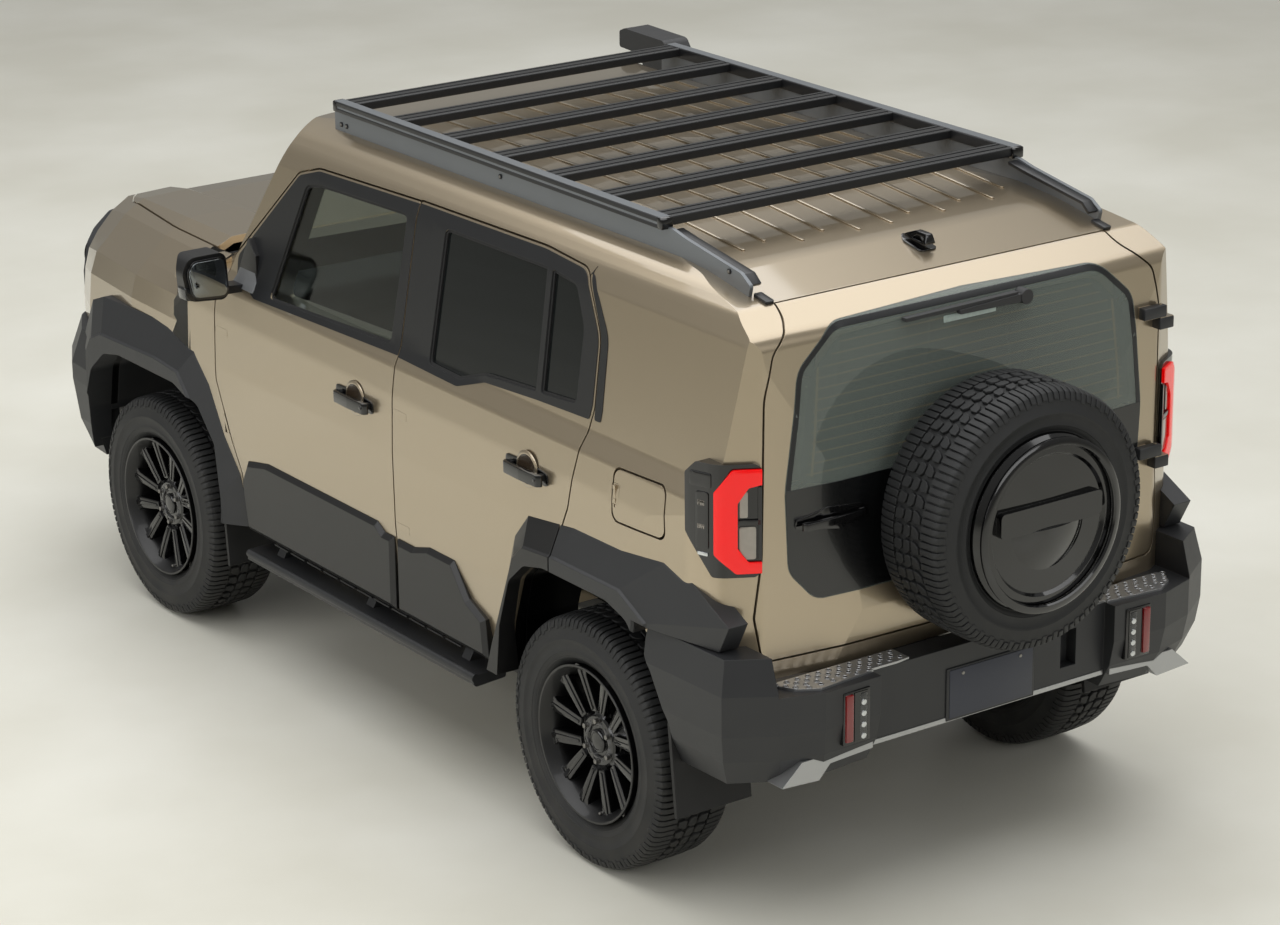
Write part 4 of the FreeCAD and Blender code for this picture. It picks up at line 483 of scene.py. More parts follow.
def softened(solid: Solid, width: float, segments: int = 2, angle: float = 30.0) -> Solid:
    """Solid with its sharp edges bevelled.

    Args:
        solid: the solid.
        width: width of the bevel.
        segments: spans across it.
        angle: edges that turn by less are left.

    Returns:
        The same solid.
    """
    if width > 0:
        edges = [e for e in solid.edges if e.is_manifold and e.calc_face_angle(0.0) > math.radians(angle)]
        bmesh.ops.bevel(solid, geom=edges, offset=width, segments=segments, profile=0.5, affect="EDGES",
                        material=-1, clamp_overlap=True)
    return solid


def prism(plane: Plane, outline: Flat, low: float, high: float, soft: float = 0.0) -> Solid:
    """Outline pushed from one depth to another.

    Args:
        plane: the outline's plane.
        outline: closed outline.
        low: first depth.
        high: second depth.
        soft: bevel of its edges.

    Returns:
        The solid.
    """
    solid = bmesh.new()
    face = solid.faces.new([solid.verts.new(placed_point(plane, a, b, low)) for a, b in outline])
    geom = bmesh.ops.extrude_face_region(solid, geom=[face])["geom"]
    moved = [v for v in geom if isinstance(v, bmesh.types.BMVert)]
    bmesh.ops.translate(solid, verts=moved, vec=placed_point(plane, 0.0, 0.0, high - low))
    bmesh.ops.recalc_face_normals(solid, faces=solid.faces)
    return softened(solid, soft)


def block(low: Sequence[float], high: Sequence[float], soft: float = 0.0) -> Solid:
    """Box between two corners.

    Args:
        low: lowest corner.
        high: highest corner.
        soft: bevel of its edges.

    Returns:
        The solid.
    """
    solid = bmesh.new()
    bmesh.ops.create_cube(solid, size=1.0)
    size = Vector(high) - Vector(low)
    middle = (Vector(high) + Vector(low)) / 2
    bmesh.ops.transform(solid, matrix=Matrix.Translation(middle) @ Matrix.Diagonal((*size, 1.0)), verts=solid.verts)
    return softened(solid, soft)


def turned(profile: Sequence[tuple[float, float]], centre: Sequence[float], axis: Sequence[float],
           steps: int = 48, closed: bool = False) -> Solid:
    """Profile spun round an axis.

    Args:
        profile: (radius, distance along the axis) of each point.
        centre: point of the axis at distance 0.
        axis: direction of the axis.
        steps: spans round it.
        closed: whether the profile joins its own start.

    Returns:
        The solid.
    """
    solid = bmesh.new()
    verts = [solid.verts.new((r, 0.0, s)) for r, s in profile]
    pairs = list(zip(verts, verts[1:])) + ([(verts[-1], verts[0])] if closed else [])
    edges = [solid.edges.new(pair) for pair in pairs]
    bmesh.ops.spin(solid, geom=verts + edges, cent=(0, 0, 0), axis=(0, 0, 1), angle=math.tau, steps=steps,
                   use_merge=True)
    bmesh.ops.remove_doubles(solid, verts=solid.verts, dist=0.01)
    bmesh.ops.recalc_face_normals(solid, faces=solid.faces)
    turn = Vector((0, 0, 1)).rotation_difference(Vector(axis)).to_matrix().to_4x4()
    bmesh.ops.transform(solid, matrix=Matrix.Translation(Vector(centre)) @ turn, verts=solid.verts)
    return solid


def rod(start: Sequence[float], end: Sequence[float], radius: float, segments: int = 16,
        soft: float = 0.0, tip: float | None = None) -> Solid:
    """Round bar between two points.

    Args:
        start: centre of one end.
        end: centre of the other.
        radius: its radius.
        segments: spans round it.
        soft: bevel of its end edges.
        tip: radius at the end, where it differs.

    Returns:
        The solid.
    """
    solid = bmesh.new()
    a, b = Vector(start), Vector(end)
    bmesh.ops.create_cone(solid, cap_ends=True, segments=segments, radius1=radius,
                          radius2=radius if tip is None else tip, depth=(b - a).length)
    turn = Vector((0, 0, 1)).rotation_difference(b - a).to_matrix().to_4x4()
    bmesh.ops.transform(solid, matrix=Matrix.Translation((a + b) / 2) @ turn, verts=solid.verts)
    return softened(solid, soft, angle=50.0)


def filled(*outlines: Iterable[Sequence[float]]) -> Solid:
    """Flat sheet inside one closed outline and outside the others."""
    solid = bmesh.new()
    edges = []
    for outline in outlines:
        verts = [solid.verts.new(point) for point in outline]
        edges += [solid.edges.new(pair) for pair in zip(verts, verts[1:] + verts[:1])]
    bmesh.ops.triangle_fill(solid, use_beauty=True, use_dissolve=False, edges=edges)
    return solid


def pushed(solid: Solid, step: Sequence[float]) -> Solid:
    """Sheet joined to a copy of itself a step away."""
    geom = bmesh.ops.extrude_face_region(solid, geom=list(solid.faces), use_keep_orig=True)["geom"]
    bmesh.ops.translate(solid, verts=[v for v in geom if isinstance(v, bmesh.types.BMVert)], vec=step)
    return solid


def flipped(solid: Solid) -> Solid:
    """Mirror image of a solid across the middle plane."""
    other = solid.copy()
    bmesh.ops.transform(other, matrix=Matrix.Diagonal((-1.0, 1.0, 1.0, 1.0)), verts=other.verts)
    bmesh.ops.reverse_faces(other, faces=other.faces)
    return other


class Piece:
    """A piece in the making, in millimetres, of several solids and finishes."""

    def __init__(self, name: str, *finishes: Finish) -> None:
        """Name the piece and its finishes, the first for solids that name none."""
        self.name = name
        self.finishes = finishes
        self.bm = bmesh.new()

    def add(self, solid: Solid, finish: int = 0, at: Matrix | None = None) -> "Piece":
        """Take in a solid.

        Args:
            solid: the solid, which is used up.
            finish: place of its finish in the piece's list.
            at: move that places it.

        Returns:
            The piece.
        """
        for face in solid.faces:
            face.material_index = finish
        if at is not None:
            bmesh.ops.transform(solid, matrix=at, verts=solid.verts)
        mesh = as_mesh(solid, "solid")
        self.bm.from_mesh(mesh)
        bpy.data.meshes.remove(mesh)
        return self

    def both(self, solid: Solid, finish: int = 0) -> "Piece":
        """Take in a solid and its mirror image."""
        return self.add(flipped(solid), finish).add(solid, finish)

    def all(self, solids: Iterable[tuple[Solid, int]], side: str = "left") -> "Piece":
        """Take in solids with their finishes, drawn for the left and mirrored for the right."""
        for solid, finish in solids:
            self.add(flipped(solid) if side == "right" else solid, finish)
        return self

    def ring(self, solid: Solid, count: int, centre: Sequence[float]) -> "Piece":
        """Take in copies of a solid, turned round the X direction.

        Args:
            solid: the first of them.
            count: how many.
            centre: a point of the axis.

        Returns:
            The piece.
        """
        there, back = Matrix.Translation(Vector(centre)), Matrix.Translation(-Vector(centre))
        for i in range(count):
            self.add(solid.copy(), at=there @ Matrix.Rotation(math.tau * i / count, 4, "X") @ back)
        solid.free()
        return self

    def done(self, body: str, slot: str, sharp: float = 38.0, replaces: Sequence[str] = ()) -> bpy.types.Object:
        """Finished object, riding on its body.

        Args:
            body: the body that it moves with.
            slot: the record's material slot, not used.
            sharp: edges that turn by more stay sharp.
            replaces: CAD nodes that it stands for.

        Returns:
            The object.
        """
        bmesh.ops.scale(self.bm, vec=(MM, MM, MM), verts=self.bm.verts)
        for face in self.bm.faces:
            face.smooth = True
        for edge in self.bm.edges:
            edge.smooth = edge.calc_face_angle(0.0) < math.radians(sharp)
        mesh = as_mesh(self.bm, self.name)
        made = linked(self.name, mesh)
        for finish in self.finishes:
            mesh.materials.append(finish.material())
        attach(made, body)
        if replaces:
            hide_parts(*replaces)
        LOG.info("%s: %d faces on %s", self.name, len(mesh.polygons), body)
        return made


# Dressing of the frame's own nodes


@dataclass
class NodeDressing:
    """Finishes of the CAD nodes whose shape stays."""

    own: dict[str, Finish] = field(default_factory=dict)

    def dress(self, nodes: dict[str, bpy.types.Object]) -> None:
        """Give each node its finish.

        Args:
            nodes: the CAD nodes by name.
        """
        for name, node in nodes.items():
            for slot in node.material_slots:
                known = SLOT_FINISH.get(slot.material.name.split(".")[0], CLAD)
                slot.material = self.own.get(name, known).material()
            LOG.info("%s: dressed", name)


# Wheels


@dataclass
class WheelSet:
    """Tread tyres.

    The side wall is given as (rise over the rim, inset from the full width), and the blocks' outlines as
    (millimetres across, shares of a pitch along).
    """

    radius: float = 387.5
    width: float = 265.0
    lip: float = 240.0
    tread: float = 10.0
    pitches: int = 54
    soft: float = 1.2
    wall: tuple[tuple[float, float], ...] = (
        (-2, 32), (5, 20), (20, 10), (22, 8), (25, 8), (27, 6), (38, 4), (39, 2.6), (42, 2.6), (43, 3.2), (70, 0.4),
        (72, -1.2), (78, -1.4), (80, 0.2))
    blocks: tuple[tuple[tuple[float, float], ...], ...] = (
        ((-14, -0.42), (3, -0.46), (13, -0.20), (13, 0.30), (2, 0.40), (-12, 0.34)),
        ((20, -0.18), (30, -0.34), (52, -0.30), (50, 0.10), (38, 0.34), (20, 0.44)),
        ((-52, -0.44), (-26, -0.40), (-20, -0.10), (-22, 0.22), (-44, 0.30), (-52, 0.10)))

    def carcass(self) -> Flat:
        """Section of the tyre: (radius, across), from the left bead over the tread to the right."""
        crown = self.radius - self.tread
        half = self.width / 2
        side = [(self.lip + rise, half - inset) for rise, inset in self.wall]
        side += [(crown - 28, half - 4), (crown - 10, half - 11), (crown - 1, half - 24), (crown, half * 0.55)]
        return side + [(r, -x) for r, x in reversed(side)]

    def pitch(self) -> list[Solid]:
        """Tread blocks of one pitch, at the top of a wheel that stands over the origin."""
        top = AXLE_Z + self.radius
        step = math.tau * self.radius / self.pitches
        low = top - self.tread - 2
        made = []
        for shape in self.blocks:
            outline = [(x, share * step) for x, share in shape]
            made.append(softened(prism(Plane.TOP, outline, low, top - 0.8), self.soft, 1))
        for side, shift in ((1, 0.0), (-1, 0.5)):
            for k, reach in ((0.0, 0.0), (0.5, 7.0)):
                made.append(self._shoulder(side, (shift + k) * step, reach, step))
        return made

    def _shoulder(self, side: int, shift: float, reach: float, step: float) -> Solid:
        """Shoulder block that runs over the edge and down the side wall."""
        top = AXLE_Z + self.radius
        half = self.width / 2
        section = [(side * x, z) for x, z in (
            (58, top - 12), (58, top - 1), (half - 28, top - 4), (half - 10, top - 12), (half - 1.5, top - 32 - reach),
            (half - 9, top - 34 - reach), (half - 26, top - 16))]
        lug = softened(prism(Plane.REAR, section, -0.20 * step, 0.18 * step), self.soft, 1)
        turn = Matrix.Rotation(-shift / self.radius, 3, "X")
        bmesh.ops.rotate(lug, cent=(0, 0, AXLE_Z), matrix=turn, verts=lug.verts)
        return lug

    def tyre(self, name: str, centre: Vector, body: str, node: str, upright: bool = True) -> bpy.types.Object:
        """One tread tyre.

        Args:
            name: name of the piece.
            centre: its middle.
            body: what it moves with.
            node: CAD node that it replaces.
            upright: false for the spare, whose axis points along Y.

        Returns:
            The piece.
        """
        piece = Piece(name, TYRE)
        piece.add(turned(self.carcass(), (0, 0, AXLE_Z), ACROSS, 72, closed=True))
        for lug in self.pitch():
            piece.ring(lug, self.pitches, (0, 0, AXLE_Z))
        turn = Matrix.Identity(4) if upright else Matrix.Rotation(math.radians(90), 4, "Z")
        place = Matrix.Translation(centre) @ turn @ Matrix.Translation(Vector((0, 0, -AXLE_Z)))
        bmesh.ops.transform(piece.bm, matrix=place, verts=piece.bm.verts)
        return piece.done(body, "tyre", replaces=[node])


# The cab's outside surfaces


Surface = Callable[[float, float], tuple[Vector, Vector]]


def across(line: Flat, value: float, axis: int) -> float:
    """Where a line crosses a value of one axis.

    Args:
        line: points of an open line.
        value: the value that it crosses.
        axis: 0 or 1, the axis of that value.

    Returns:
        The other axis' value there, or at the nearer end.
    """
    for a, b in zip(line, line[1:]):
        low, high = sorted((a[axis], b[axis]))
        if low <= value <= high and high > low:
            share = (value - a[axis]) / (b[axis] - a[axis])
            return a[1 - axis] + share * (b[1 - axis] - a[1 - axis])
    return min((line[0], line[-1]), key=lambda p: abs(p[axis] - value))[1 - axis]


@dataclass
class CabLines:
    """The cab's outside lines, from which glazing, lamps and trim take their place."""

    section: tuple[Corner, ...] = (
        (0, 1890), (300, 1887), (560, 1874), (640, 1862, 200), (705, 1832, 90), (745, 1790, 90), (768, 1730, 60),
        (838, 1330, 60), (864, 1275, 60), (877, 1180, 200), (883, 1000, 300), (880, 760, 300), (868, 600, 100),
        (845, 455),
    )
    plan: tuple[Corner, ...] = (
        (0, 1952), (400, 1940), (730, 1912, 60), (838, 1850, 80), (870, 1755, 200), (895, 1100, 300), (895, -1300),
    )
    side: tuple[Corner, ...] = (
        (-1155, 1285), (-690, 1856, 190), (-380, 1879, 900), (350, 1890, 2500), (1150, 1880, 1400), (1560, 1846, 600),
        (1800, 1803, 60), (1908, 1740, 60), (1934, 1290), (1940, 900), (1925, 620),
    )
    lamp_proud: float = 12.0
    lamp_start: float = 740.0

    def __post_init__(self) -> None:
        """Work out the rounded lines once."""
        self.section_line = rounded(self.section, 10)
        self.plan_line = rounded(self.plan, 10)
        side_line = rounded(self.side, 10)
        top = max(range(len(side_line)), key=lambda i: side_line[i][1])
        self.rear_line = [p for p in side_line[top:]]
        self.roof_line = side_line
        self.wrap_line = self._wrap_line()

    def _wrap_line(self) -> Flat:
        """Plan line moved out to the lamps' face, from the lamps' inner end outwards."""
        moved: Flat = []
        line = self.plan_line
        for i, point in enumerate(line):
            a, b = Vector(line[max(i - 1, 0)]), Vector(line[min(i + 1, len(line) - 1)])
            run = (b - a).normalized()
            moved.append(tuple(Vector(point) + Vector((-run.y, run.x)) * self.lamp_proud))
        start = (self.lamp_start, across(moved, self.lamp_start, 0))
        return [start] + [p for p in moved if p[0] > self.lamp_start]

    def _facing(self, height: Callable[[float, float], float], a: float, b: float,
                axes: Plane) -> tuple[Vector, Vector]:
        """Point and normal of a height field over a plane."""
        here = height(a, b)
        slope_a = (height(a + 1.0, b) - height(a - 1.0, b)) / 2
        slope_b = (height(a, b + 1.0) - height(a, b - 1.0)) / 2
        return placed_point(axes, a, b, here), placed_point(axes, -slope_a, -slope_b, 1.0).normalized()

    def left(self, y: float, z: float) -> tuple[Vector, Vector]:
        """Left side at a length and a height."""
        return self._facing(
            lambda a, b: min(across(self.section_line, b, 1), across(self.plan_line, a, 1)), y, z, Plane.SIDE)

    def back(self, x: float, z: float) -> tuple[Vector, Vector]:
        """Back at a width and a height."""
        return self._facing(
            lambda a, b: min(across(self.rear_line, b, 1), across(self.plan_line, abs(a), 0)), x, z, Plane.REAR)

    def roof(self, x: float, y: float) -> tuple[Vector, Vector]:
        """Roof at a width and a length."""
        return self._facing(
            lambda a, b: min(across(self.section_line, abs(a), 0), across(self.roof_line, b, 0)), x, y, Plane.TOP)

    def lamp(self, s: float, z: float) -> tuple[Vector, Vector]:
        """Rear lamp's face, at a distance round the corner from its inner end, and a height."""
        gone = 0.0
        line = self.wrap_line
        for a, b in zip(line, line[1:]):
            step = Vector(b) - Vector(a)
            if gone + step.length >= s or b is line[-1]:
                run = step.normalized()
                spot = Vector(a) + run * (s - gone)
                return Vector((spot.x, spot.y, z)), Vector((-run.y, run.x, 0.0)).normalized()
            gone += step.length
        return Vector((*line[-1], z)), Vector((1, 0, 0))


def overlay(surface: Surface, outer: Flat, lift: float, thick: float, step: float = 45.0, soft: float = 0.0,
            holes: Sequence[Flat] = ()) -> Solid:
    """Plate of even thickness laid on a surface.

    Args:
        surface: gives the point and normal for a point of the outlines.
        outer: its outline.
        lift: how far its underside stands off the surface.
        thick: its thickness.
        step: longest span between its cuts.
        soft: bevel of its edges.
        holes: outlines of its holes.

    Returns:
        The solid.
    """
    solid = filled(*([(a, b, 0.0) for a, b in outline] for outline in (outer, *holes)))
    for axis in (0, 1):
        values = [v.co[axis] for v in solid.verts]
        low, high = min(values), max(values)
        count = int((high - low) / step)
        for k in range(1, count + 1):
            at, across_axis = Vector((0, 0, 0)), Vector((0, 0, 0))
            at[axis] = low + (high - low) * k / (count + 1)
            across_axis[axis] = 1.0
            bmesh.ops.bisect_plane(solid, geom=solid.verts[:] + solid.edges[:] + solid.faces[:], dist=0.001,
                                   plane_co=at, plane_no=across_axis)
    for vert in pushed(solid, UP).verts:
        point, normal = surface(vert.co.x, vert.co.y)
        vert.co = point + normal * (lift + thick * vert.co.z)
    bmesh.ops.recalc_face_normals(solid, faces=solid.faces)
    return softened(solid, soft, angle=50.0)


def oblong(a0: float, a1: float, b0: float, b1: float, radius: float = 0.0, steps: int = 4) -> Flat:
    """Rounded rectangle between two corners."""
    return rounded([(a0, b0, radius), (a1, b0, radius), (a1, b1, radius), (a0, b1, radius)], steps)


# Glazing and side trim


@dataclass
class SideGlazing:
    """Black window frames, rubbers and the corner fillet behind the rear door, for both sides."""

    lines: CabLines
    front_window: tuple[Corner, ...] = (
        (-566, 1300, 25), (-420, 1700, 40), (-330, 1716, 80), (176, 1732, 25), (168, 1326, 25))
    rear_window: tuple[Corner, ...] = (
        (385, 1318, 25), (388, 1734, 25), (935, 1738, 12), (955, 1374, 12), (690, 1356, 60), (560, 1314, 60))
    quarter_window: tuple[Corner, ...] = (
        (977, 1375, 12), (957, 1738, 12), (1085, 1724, 40), (1150, 1610, 120), (1158, 1388, 25))
    front_frame: tuple[Corner, ...] = (
        (-640, 1283, 12), (-780, 1330, 12), (-786, 1392, 40), (-466, 1720, 60), (-358, 1753, 90), (221.4, 1771, 4),
        (221.4, 1305, 3))
    rear_frame: tuple[Corner, ...] = (
        (228.6, 1301, 3), (228.6, 1773, 4), (900, 1781, 500), (1115, 1767, 60), (1222, 1598, 120), (1234, 1405, 60),
        (1226, 1362, 10), (960, 1352, 30), (690, 1336, 60), (560, 1294, 60))
    fillet: tuple[Corner, ...] = (
        (1252, 1366, 8), (1249, 1400, 60), (1236, 1602, 120), (1140, 1764, 40), (1148, 1775, 20), (1268, 1608, 120),
        (1284, 1400, 60), (1282, 1366, 8))
    frame_thick: float = 1.6
    glass_sink: float = 10.0
    rubber: float = 9.0

    def build(self) -> None:
        """Make the pieces of both sides."""
        lay = partial(overlay, self.lines.left)
        doors = (("front", self.front_frame, (self.front_window,)),
                 ("rear", self.rear_frame, (self.rear_window, self.quarter_window)))
        for side in SIDES:
            for door, frame, corners in doors:
                windows = [rounded(window) for window in corners]
                holes = [grown(window, -0.6) for window in windows]
                solids = [(lay(rounded(frame), TRIM_LIFT, self.frame_thick, holes=holes), 0)]
                for window in windows:
                    edge = grown(window, 0.4)
                    for inset, lift, thick in ((self.rubber, -self.glass_sink - 0.2, 7.0), (2.2, -4.0, 4.0)):
                        solids.append((lay(edge, lift, thick, holes=[grown(window, -inset)]), 1))
                piece = Piece(f"window_frame_{door}_{side}", SATIN, RUBBER)
                piece.all(solids, side).done(f"door_{door}_{side}", "gloss_black")
            fillet = lay(rounded(self.fillet), TRIM_LIFT, self.frame_thick)
            Piece(f"pillar_fillet_{side}", SATIN).all([(fillet, 0)], side).done("root", "gloss_black")


@dataclass
class DoorHardware:
    """Handles with their bowls, and the mirrors' glass and lamps."""

    lines: CabLines
    handles: tuple[tuple[str, float, float], ...] = (("front", 5.0, 1115.0), ("rear", 967.0, 1148.0))
    mirror_y: float = -712.0
    mirror_z: float = 1352.0

    def _handle(self, y: float, z: float) -> list[tuple[Solid, int]]:
        """Bar, end plates, bowl with its lip, and key cap of a left handle; the bowl's dark finish is painted shade."""
        x = BODY_HALF
        bar = prism(Plane.TOP, rounded([(x + 9, y - 92, 8), (x + 30, y - 76, 14), (x + 33, y + 10, 60),
                                        (x + 30, y + 96, 14), (x + 9, y + 110, 8), (x + 9, y + 80), (x + 16, y + 60, 8),
                                        (x + 17, y - 48, 8), (x + 9, y - 66)]), z - 22, z + 14, soft=8.0)
        plates = [(overlay(self.lines.left, rounded(shape), TRIM_LIFT, 4.0, soft=1.4), 0) for shape in (
            [(y - 108, z - 14, 12), (y - 106, z + 24, 12), (y - 44, z + 26, 8), (y - 36, z - 22, 8)],
            [(y + 46, z - 24, 8), (y + 50, z + 24, 8), (y + 110, z + 14, 16), (y + 116, z - 24, 16)])]
        spot = (x - 2.5, y + 6.0, z + 4.0)
        # The bowl is a shallow dish on the door's surface; its dark finish is painted shade, as if it were sunk in.
        bowl = turned([(0.0, 0.1), (0.0, 0.4), (20.0, 0.8), (36.0, 2.0), (46.0, 3.6), (46.0, 0.1)], spot, ACROSS)
        lip = turned([(46.0, 0.1), (46.0, 3.7), (48.0, 4.1), (52.0, 3.0), (57.0, 0.2)], spot, ACROSS, closed=True)
        cap = rod((x + 24, y + 88, z - 1), (x + 33.5, y + 88, z - 1), 6.0, soft=1.0)
        return [(bar, 0), *plates, (bowl, 2), (lip, 1), (cap, 0)]

    def _mirror(self) -> list[tuple[Solid, int]]:
        """Mirror glass, its rim, the side lamp and the sail plate of the left mirror."""
        y, z = self.mirror_y, self.mirror_z
        face = rounded([(918, z - 60, 22), (1040, z - 50, 30), (1058, z + 36, 34), (1036, z + 66, 26),
                        (926, z + 66, 22)])
        rim = prism(Plane.REAR, grown(face, 7.0), y - 1.0, y + 4.0, soft=1.5)
        glass = prism(Plane.REAR, face, y + 3.0, y + 5.0, soft=0.6)
        lamp = prism(Plane.REAR, rounded([(1036, z - 62, 6), (1070, z - 54, 8), (1074, z - 12, 8), (1054, z - 14, 6)]),
                     y - 46.0, y + 2.0, soft=3.0)
        sail = overlay(self.lines.left, rounded([(-792, 1296, 8), (-650, 1296, 8), (-652, 1330, 8), (-712, 1462, 14)]),
                       2.0, 3.2, soft=1.2)
        return [(rim, 0), (glass, 2), (lamp, 3), (sail, 4)]

    def build(self) -> None:
        """Make the pieces of all four doors."""
        for side in SIDES:
            for door, y, z in self.handles:
                piece = Piece(f"door_handle_{door}_{side}", GLOSS, PAINT, BOWL_PAINTED_SHADE)
                piece.all(self._handle(y, z), side).done(f"door_{door}_{side}", "gloss_black")
            mirror = Piece(f"mirror_parts_{side}", GLOSS, GLOSS, MIRROR, SMOKED_LENS, PLATE_GREY)
            mirror.all(self._mirror(), side).done(f"door_front_{side}", "gloss_black")


# Back of the cab


@dataclass
class BackDoorTrim:
    """Black lower panel, heater lines, stop lamp strip, handle and hinge covers of the back door."""

    lines: CabLines
    glass: tuple[Corner, ...] = (
        (490, 1752, 110), (618, 1640, 90), (662, 1298, 300), (650, 1060, 80), (560, 962, 80))
    split_z: float = 1300.0
    opening: tuple[Corner, ...] = ((470, 1712, 90), (578, 1610, 80), (615, 1310, 30))
    line_pitch: float = 30.0
    line_half: float = 2.0
    glass_thick: float = 6.0
    hinge: tuple[float, float] = (-712.0, 1934.0)
    hinge_heights: tuple[float, ...] = (1130.0, 1560.0)

    def _whole(self, half: Sequence[Corner]) -> Flat:
        """Outline mirrored from its left half."""
        mirrored = [(-c[0], *c[1:]) for c in reversed(half)]
        return rounded(list(half) + mirrored)

    def build(self) -> None:
        """Make the pieces."""
        self._panel()
        self._heater()
        self._handle()
        self._hinges()

    def _panel(self) -> None:
        """Black part of the one-piece outer glass, with its dark border round the window."""
        whole = grown(self._whole(self.glass), -3.0)
        low = [(x, z) for x, z in whole if z < self.split_z]
        top_left = max(x for x, z in whole if z < self.split_z + 40)
        low = [(top_left, self.split_z), *low, (-top_left, self.split_z)]
        panel = overlay(self.lines.back, low, 0.2, 1.2)
        border = overlay(self.lines.back, whole, 0.15, 0.6, holes=[grown(whole, -16.0)])
        Piece("back_panel_black", PANEL_BLACK, SATIN).add(panel).add(border, 1).done("back_door", "gloss_black")

    def _heater(self) -> None:
        """Thin heater lines on the inside of the glass, glowing as painted light, and the pale stop lamp at its top."""
        # The heater lines' finish glows: painted light.
        piece = Piece("heater_lines", AMBER_LINE_PAINTED_GLOW, STOP_STRIP)
        lay = partial(overlay, self.lines.back)
        ends = [(self.opening[2][0] + 8, 1290)] + [c[:2] for c in reversed(self.opening)]
        low, top = self.split_z + 34.0, max(z for _, z in self._whole(self.opening)) - 16.0
        for k in range(math.ceil((top - low) / self.line_pitch)):
            z = low + k * self.line_pitch
            reach = across(ends, z, 1) - 26.0
            line = oblong(-reach, reach, z - self.line_half, z + self.line_half)
            piece.add(lay(line, -self.glass_thick - 1.2, 0.8, 160.0))
        for side in (-1, 1):
            bus = [(side * 566, self.split_z + 26), (side * 574, self.split_z + 26), (side * 545, top - 60),
                   (side * 537, top - 60)]
            piece.add(lay(bus, -self.glass_thick - 1.4, 0.8, 120.0))
        piece.add(lay(oblong(-96, 96, 1680, 1700, 4), 0.3, 1.4, 60.0, soft=0.5), 1)
        piece.done("back_door", "glass_dark")

    def _handle(self) -> None:
        """Gloss handle on the left of the lower panel."""
        y = self.lines.back(490, 1195)[0].y
        shape = [(366, 1182, 16), (400, 1222, 26), (520, 1232, 26), (628, 1210, 12), (628, 1184, 12), (480, 1160, 24)]
        plate = overlay(self.lines.back, rounded(shape), 1.3, 2.4, soft=1.0)
        grip = [(392, 6, 4), (404, 22, 10), (500, 30, 60), (612, 26, 10), (622, 8, 6), (600, 8, 0), (588, 14, 6),
                (424, 12, 6), (412, 6, 0)]
        bar = prism(Plane.TOP, rounded((x, y + out, radius) for x, out, radius in grip), 1184.0, 1206.0, soft=5.0)
        Piece("back_door_handle", GLOSS).add(plate).add(bar).done("back_door", "gloss_black")

    def _hinges(self) -> None:
        """Black covers over both halves of the outside hinges."""
        x, y = self.hinge
        for k, z in enumerate(self.hinge_heights):
            strap = block((x - 14.5, y - 14.5, z - 4.0), (x + 73.0, y + 14.5, z + 32.0), soft=4.0)
            Piece(f"hinge_cover_{k}", CLAD).add(strap).done("back_door", "clad_black")
            leaf = block((x - 44.0, y - 61.0, z - 42.0), (x + 11.5, y + 14.5, z - 5.6), soft=4.0)
            Piece(f"hinge_base_{k}", CLAD).add(leaf).done("root", "clad_black")


@dataclass
class RearLamps:
    """Red brackets and inner lenses on the corner lamps, and the upright bars in the bumper."""

    lines: CabLines
    bracket: tuple[Corner, ...] = (
        (2, 1386), (84, 1386, 16), (132, 1322, 16), (132, 1139, 16), (74, 1084, 16), (2, 1084), (2, 1116),
        (38, 1116, 10), (69, 1158, 12), (69, 1290, 12), (38, 1334, 10), (2, 1342))
    cells: tuple[tuple[Corner, int, float, float], ...] = (
        ((40, 63, 1246, 1322, 5), 1, 3.0, 0.8), ((17, 64, 1124, 1220, 8), 1, 3.0, 0.8),
        ((4, 66, 1226, 1240, 2), 2, 6.0, 0.8), ((2, 12, 1122, 1336, 2), 2, 6.0, 0.8),
        ((142, 212, 1330, 1372, 6), 2, 3.0, 1.0), ((150, 192, 1150, 1316, 8), 2, 3.0, 1.0),
        ((162, 186, 1276, 1292, 3), 1, 3.0, 1.0), ((162, 186, 1208, 1222, 3), 1, 3.0, 1.0),
        ((152, 186, 1130, 1140, 3), 3, 3.0, 1.0))

    def build(self) -> None:
        """Make the lamps' pieces."""
        lay = partial(overlay, self.lines.lamp, step=14.0)
        for side in SIDES:
            solids = [(lay(rounded(self.bracket), 0.4, 9.0, soft=2.0), 0)]
            solids += [(lay(oblong(*shape), 0.3, thick, soft=soft), finish)
                       for shape, finish, thick, soft in self.cells]
            piece = Piece(f"rear_lamp_{side}", RED_LENS, CELL_LENS, GLOSS, BRIGHT)
            piece.all(solids, side).done("root", "lamp_red")
        self._bars()

    def _bars(self) -> None:
        """Red and clear bars in the bumper's corners."""
        piece = Piece("bumper_lamp_bars", DEEP_RED, SMOKED_LENS, BRIGHT, GLOSS)
        for low, high, finish in (((482, 2062, 574), (578, 2081.5, 734), 3), ((546, 2070, 584), (572, 2089, 726), 0),
                                  ((495, 2070, 582), (521, 2085, 724), 1)):
            piece.both(block(low, high, soft=3.0), finish)
        for k in range(4):
            z = 592.0 + 34.0 * k
            piece.both(rod((508, 2080, z), (508, 2087, z), 9.0, 18, soft=1.5), 2)
        piece.done("root", "lamp_red")


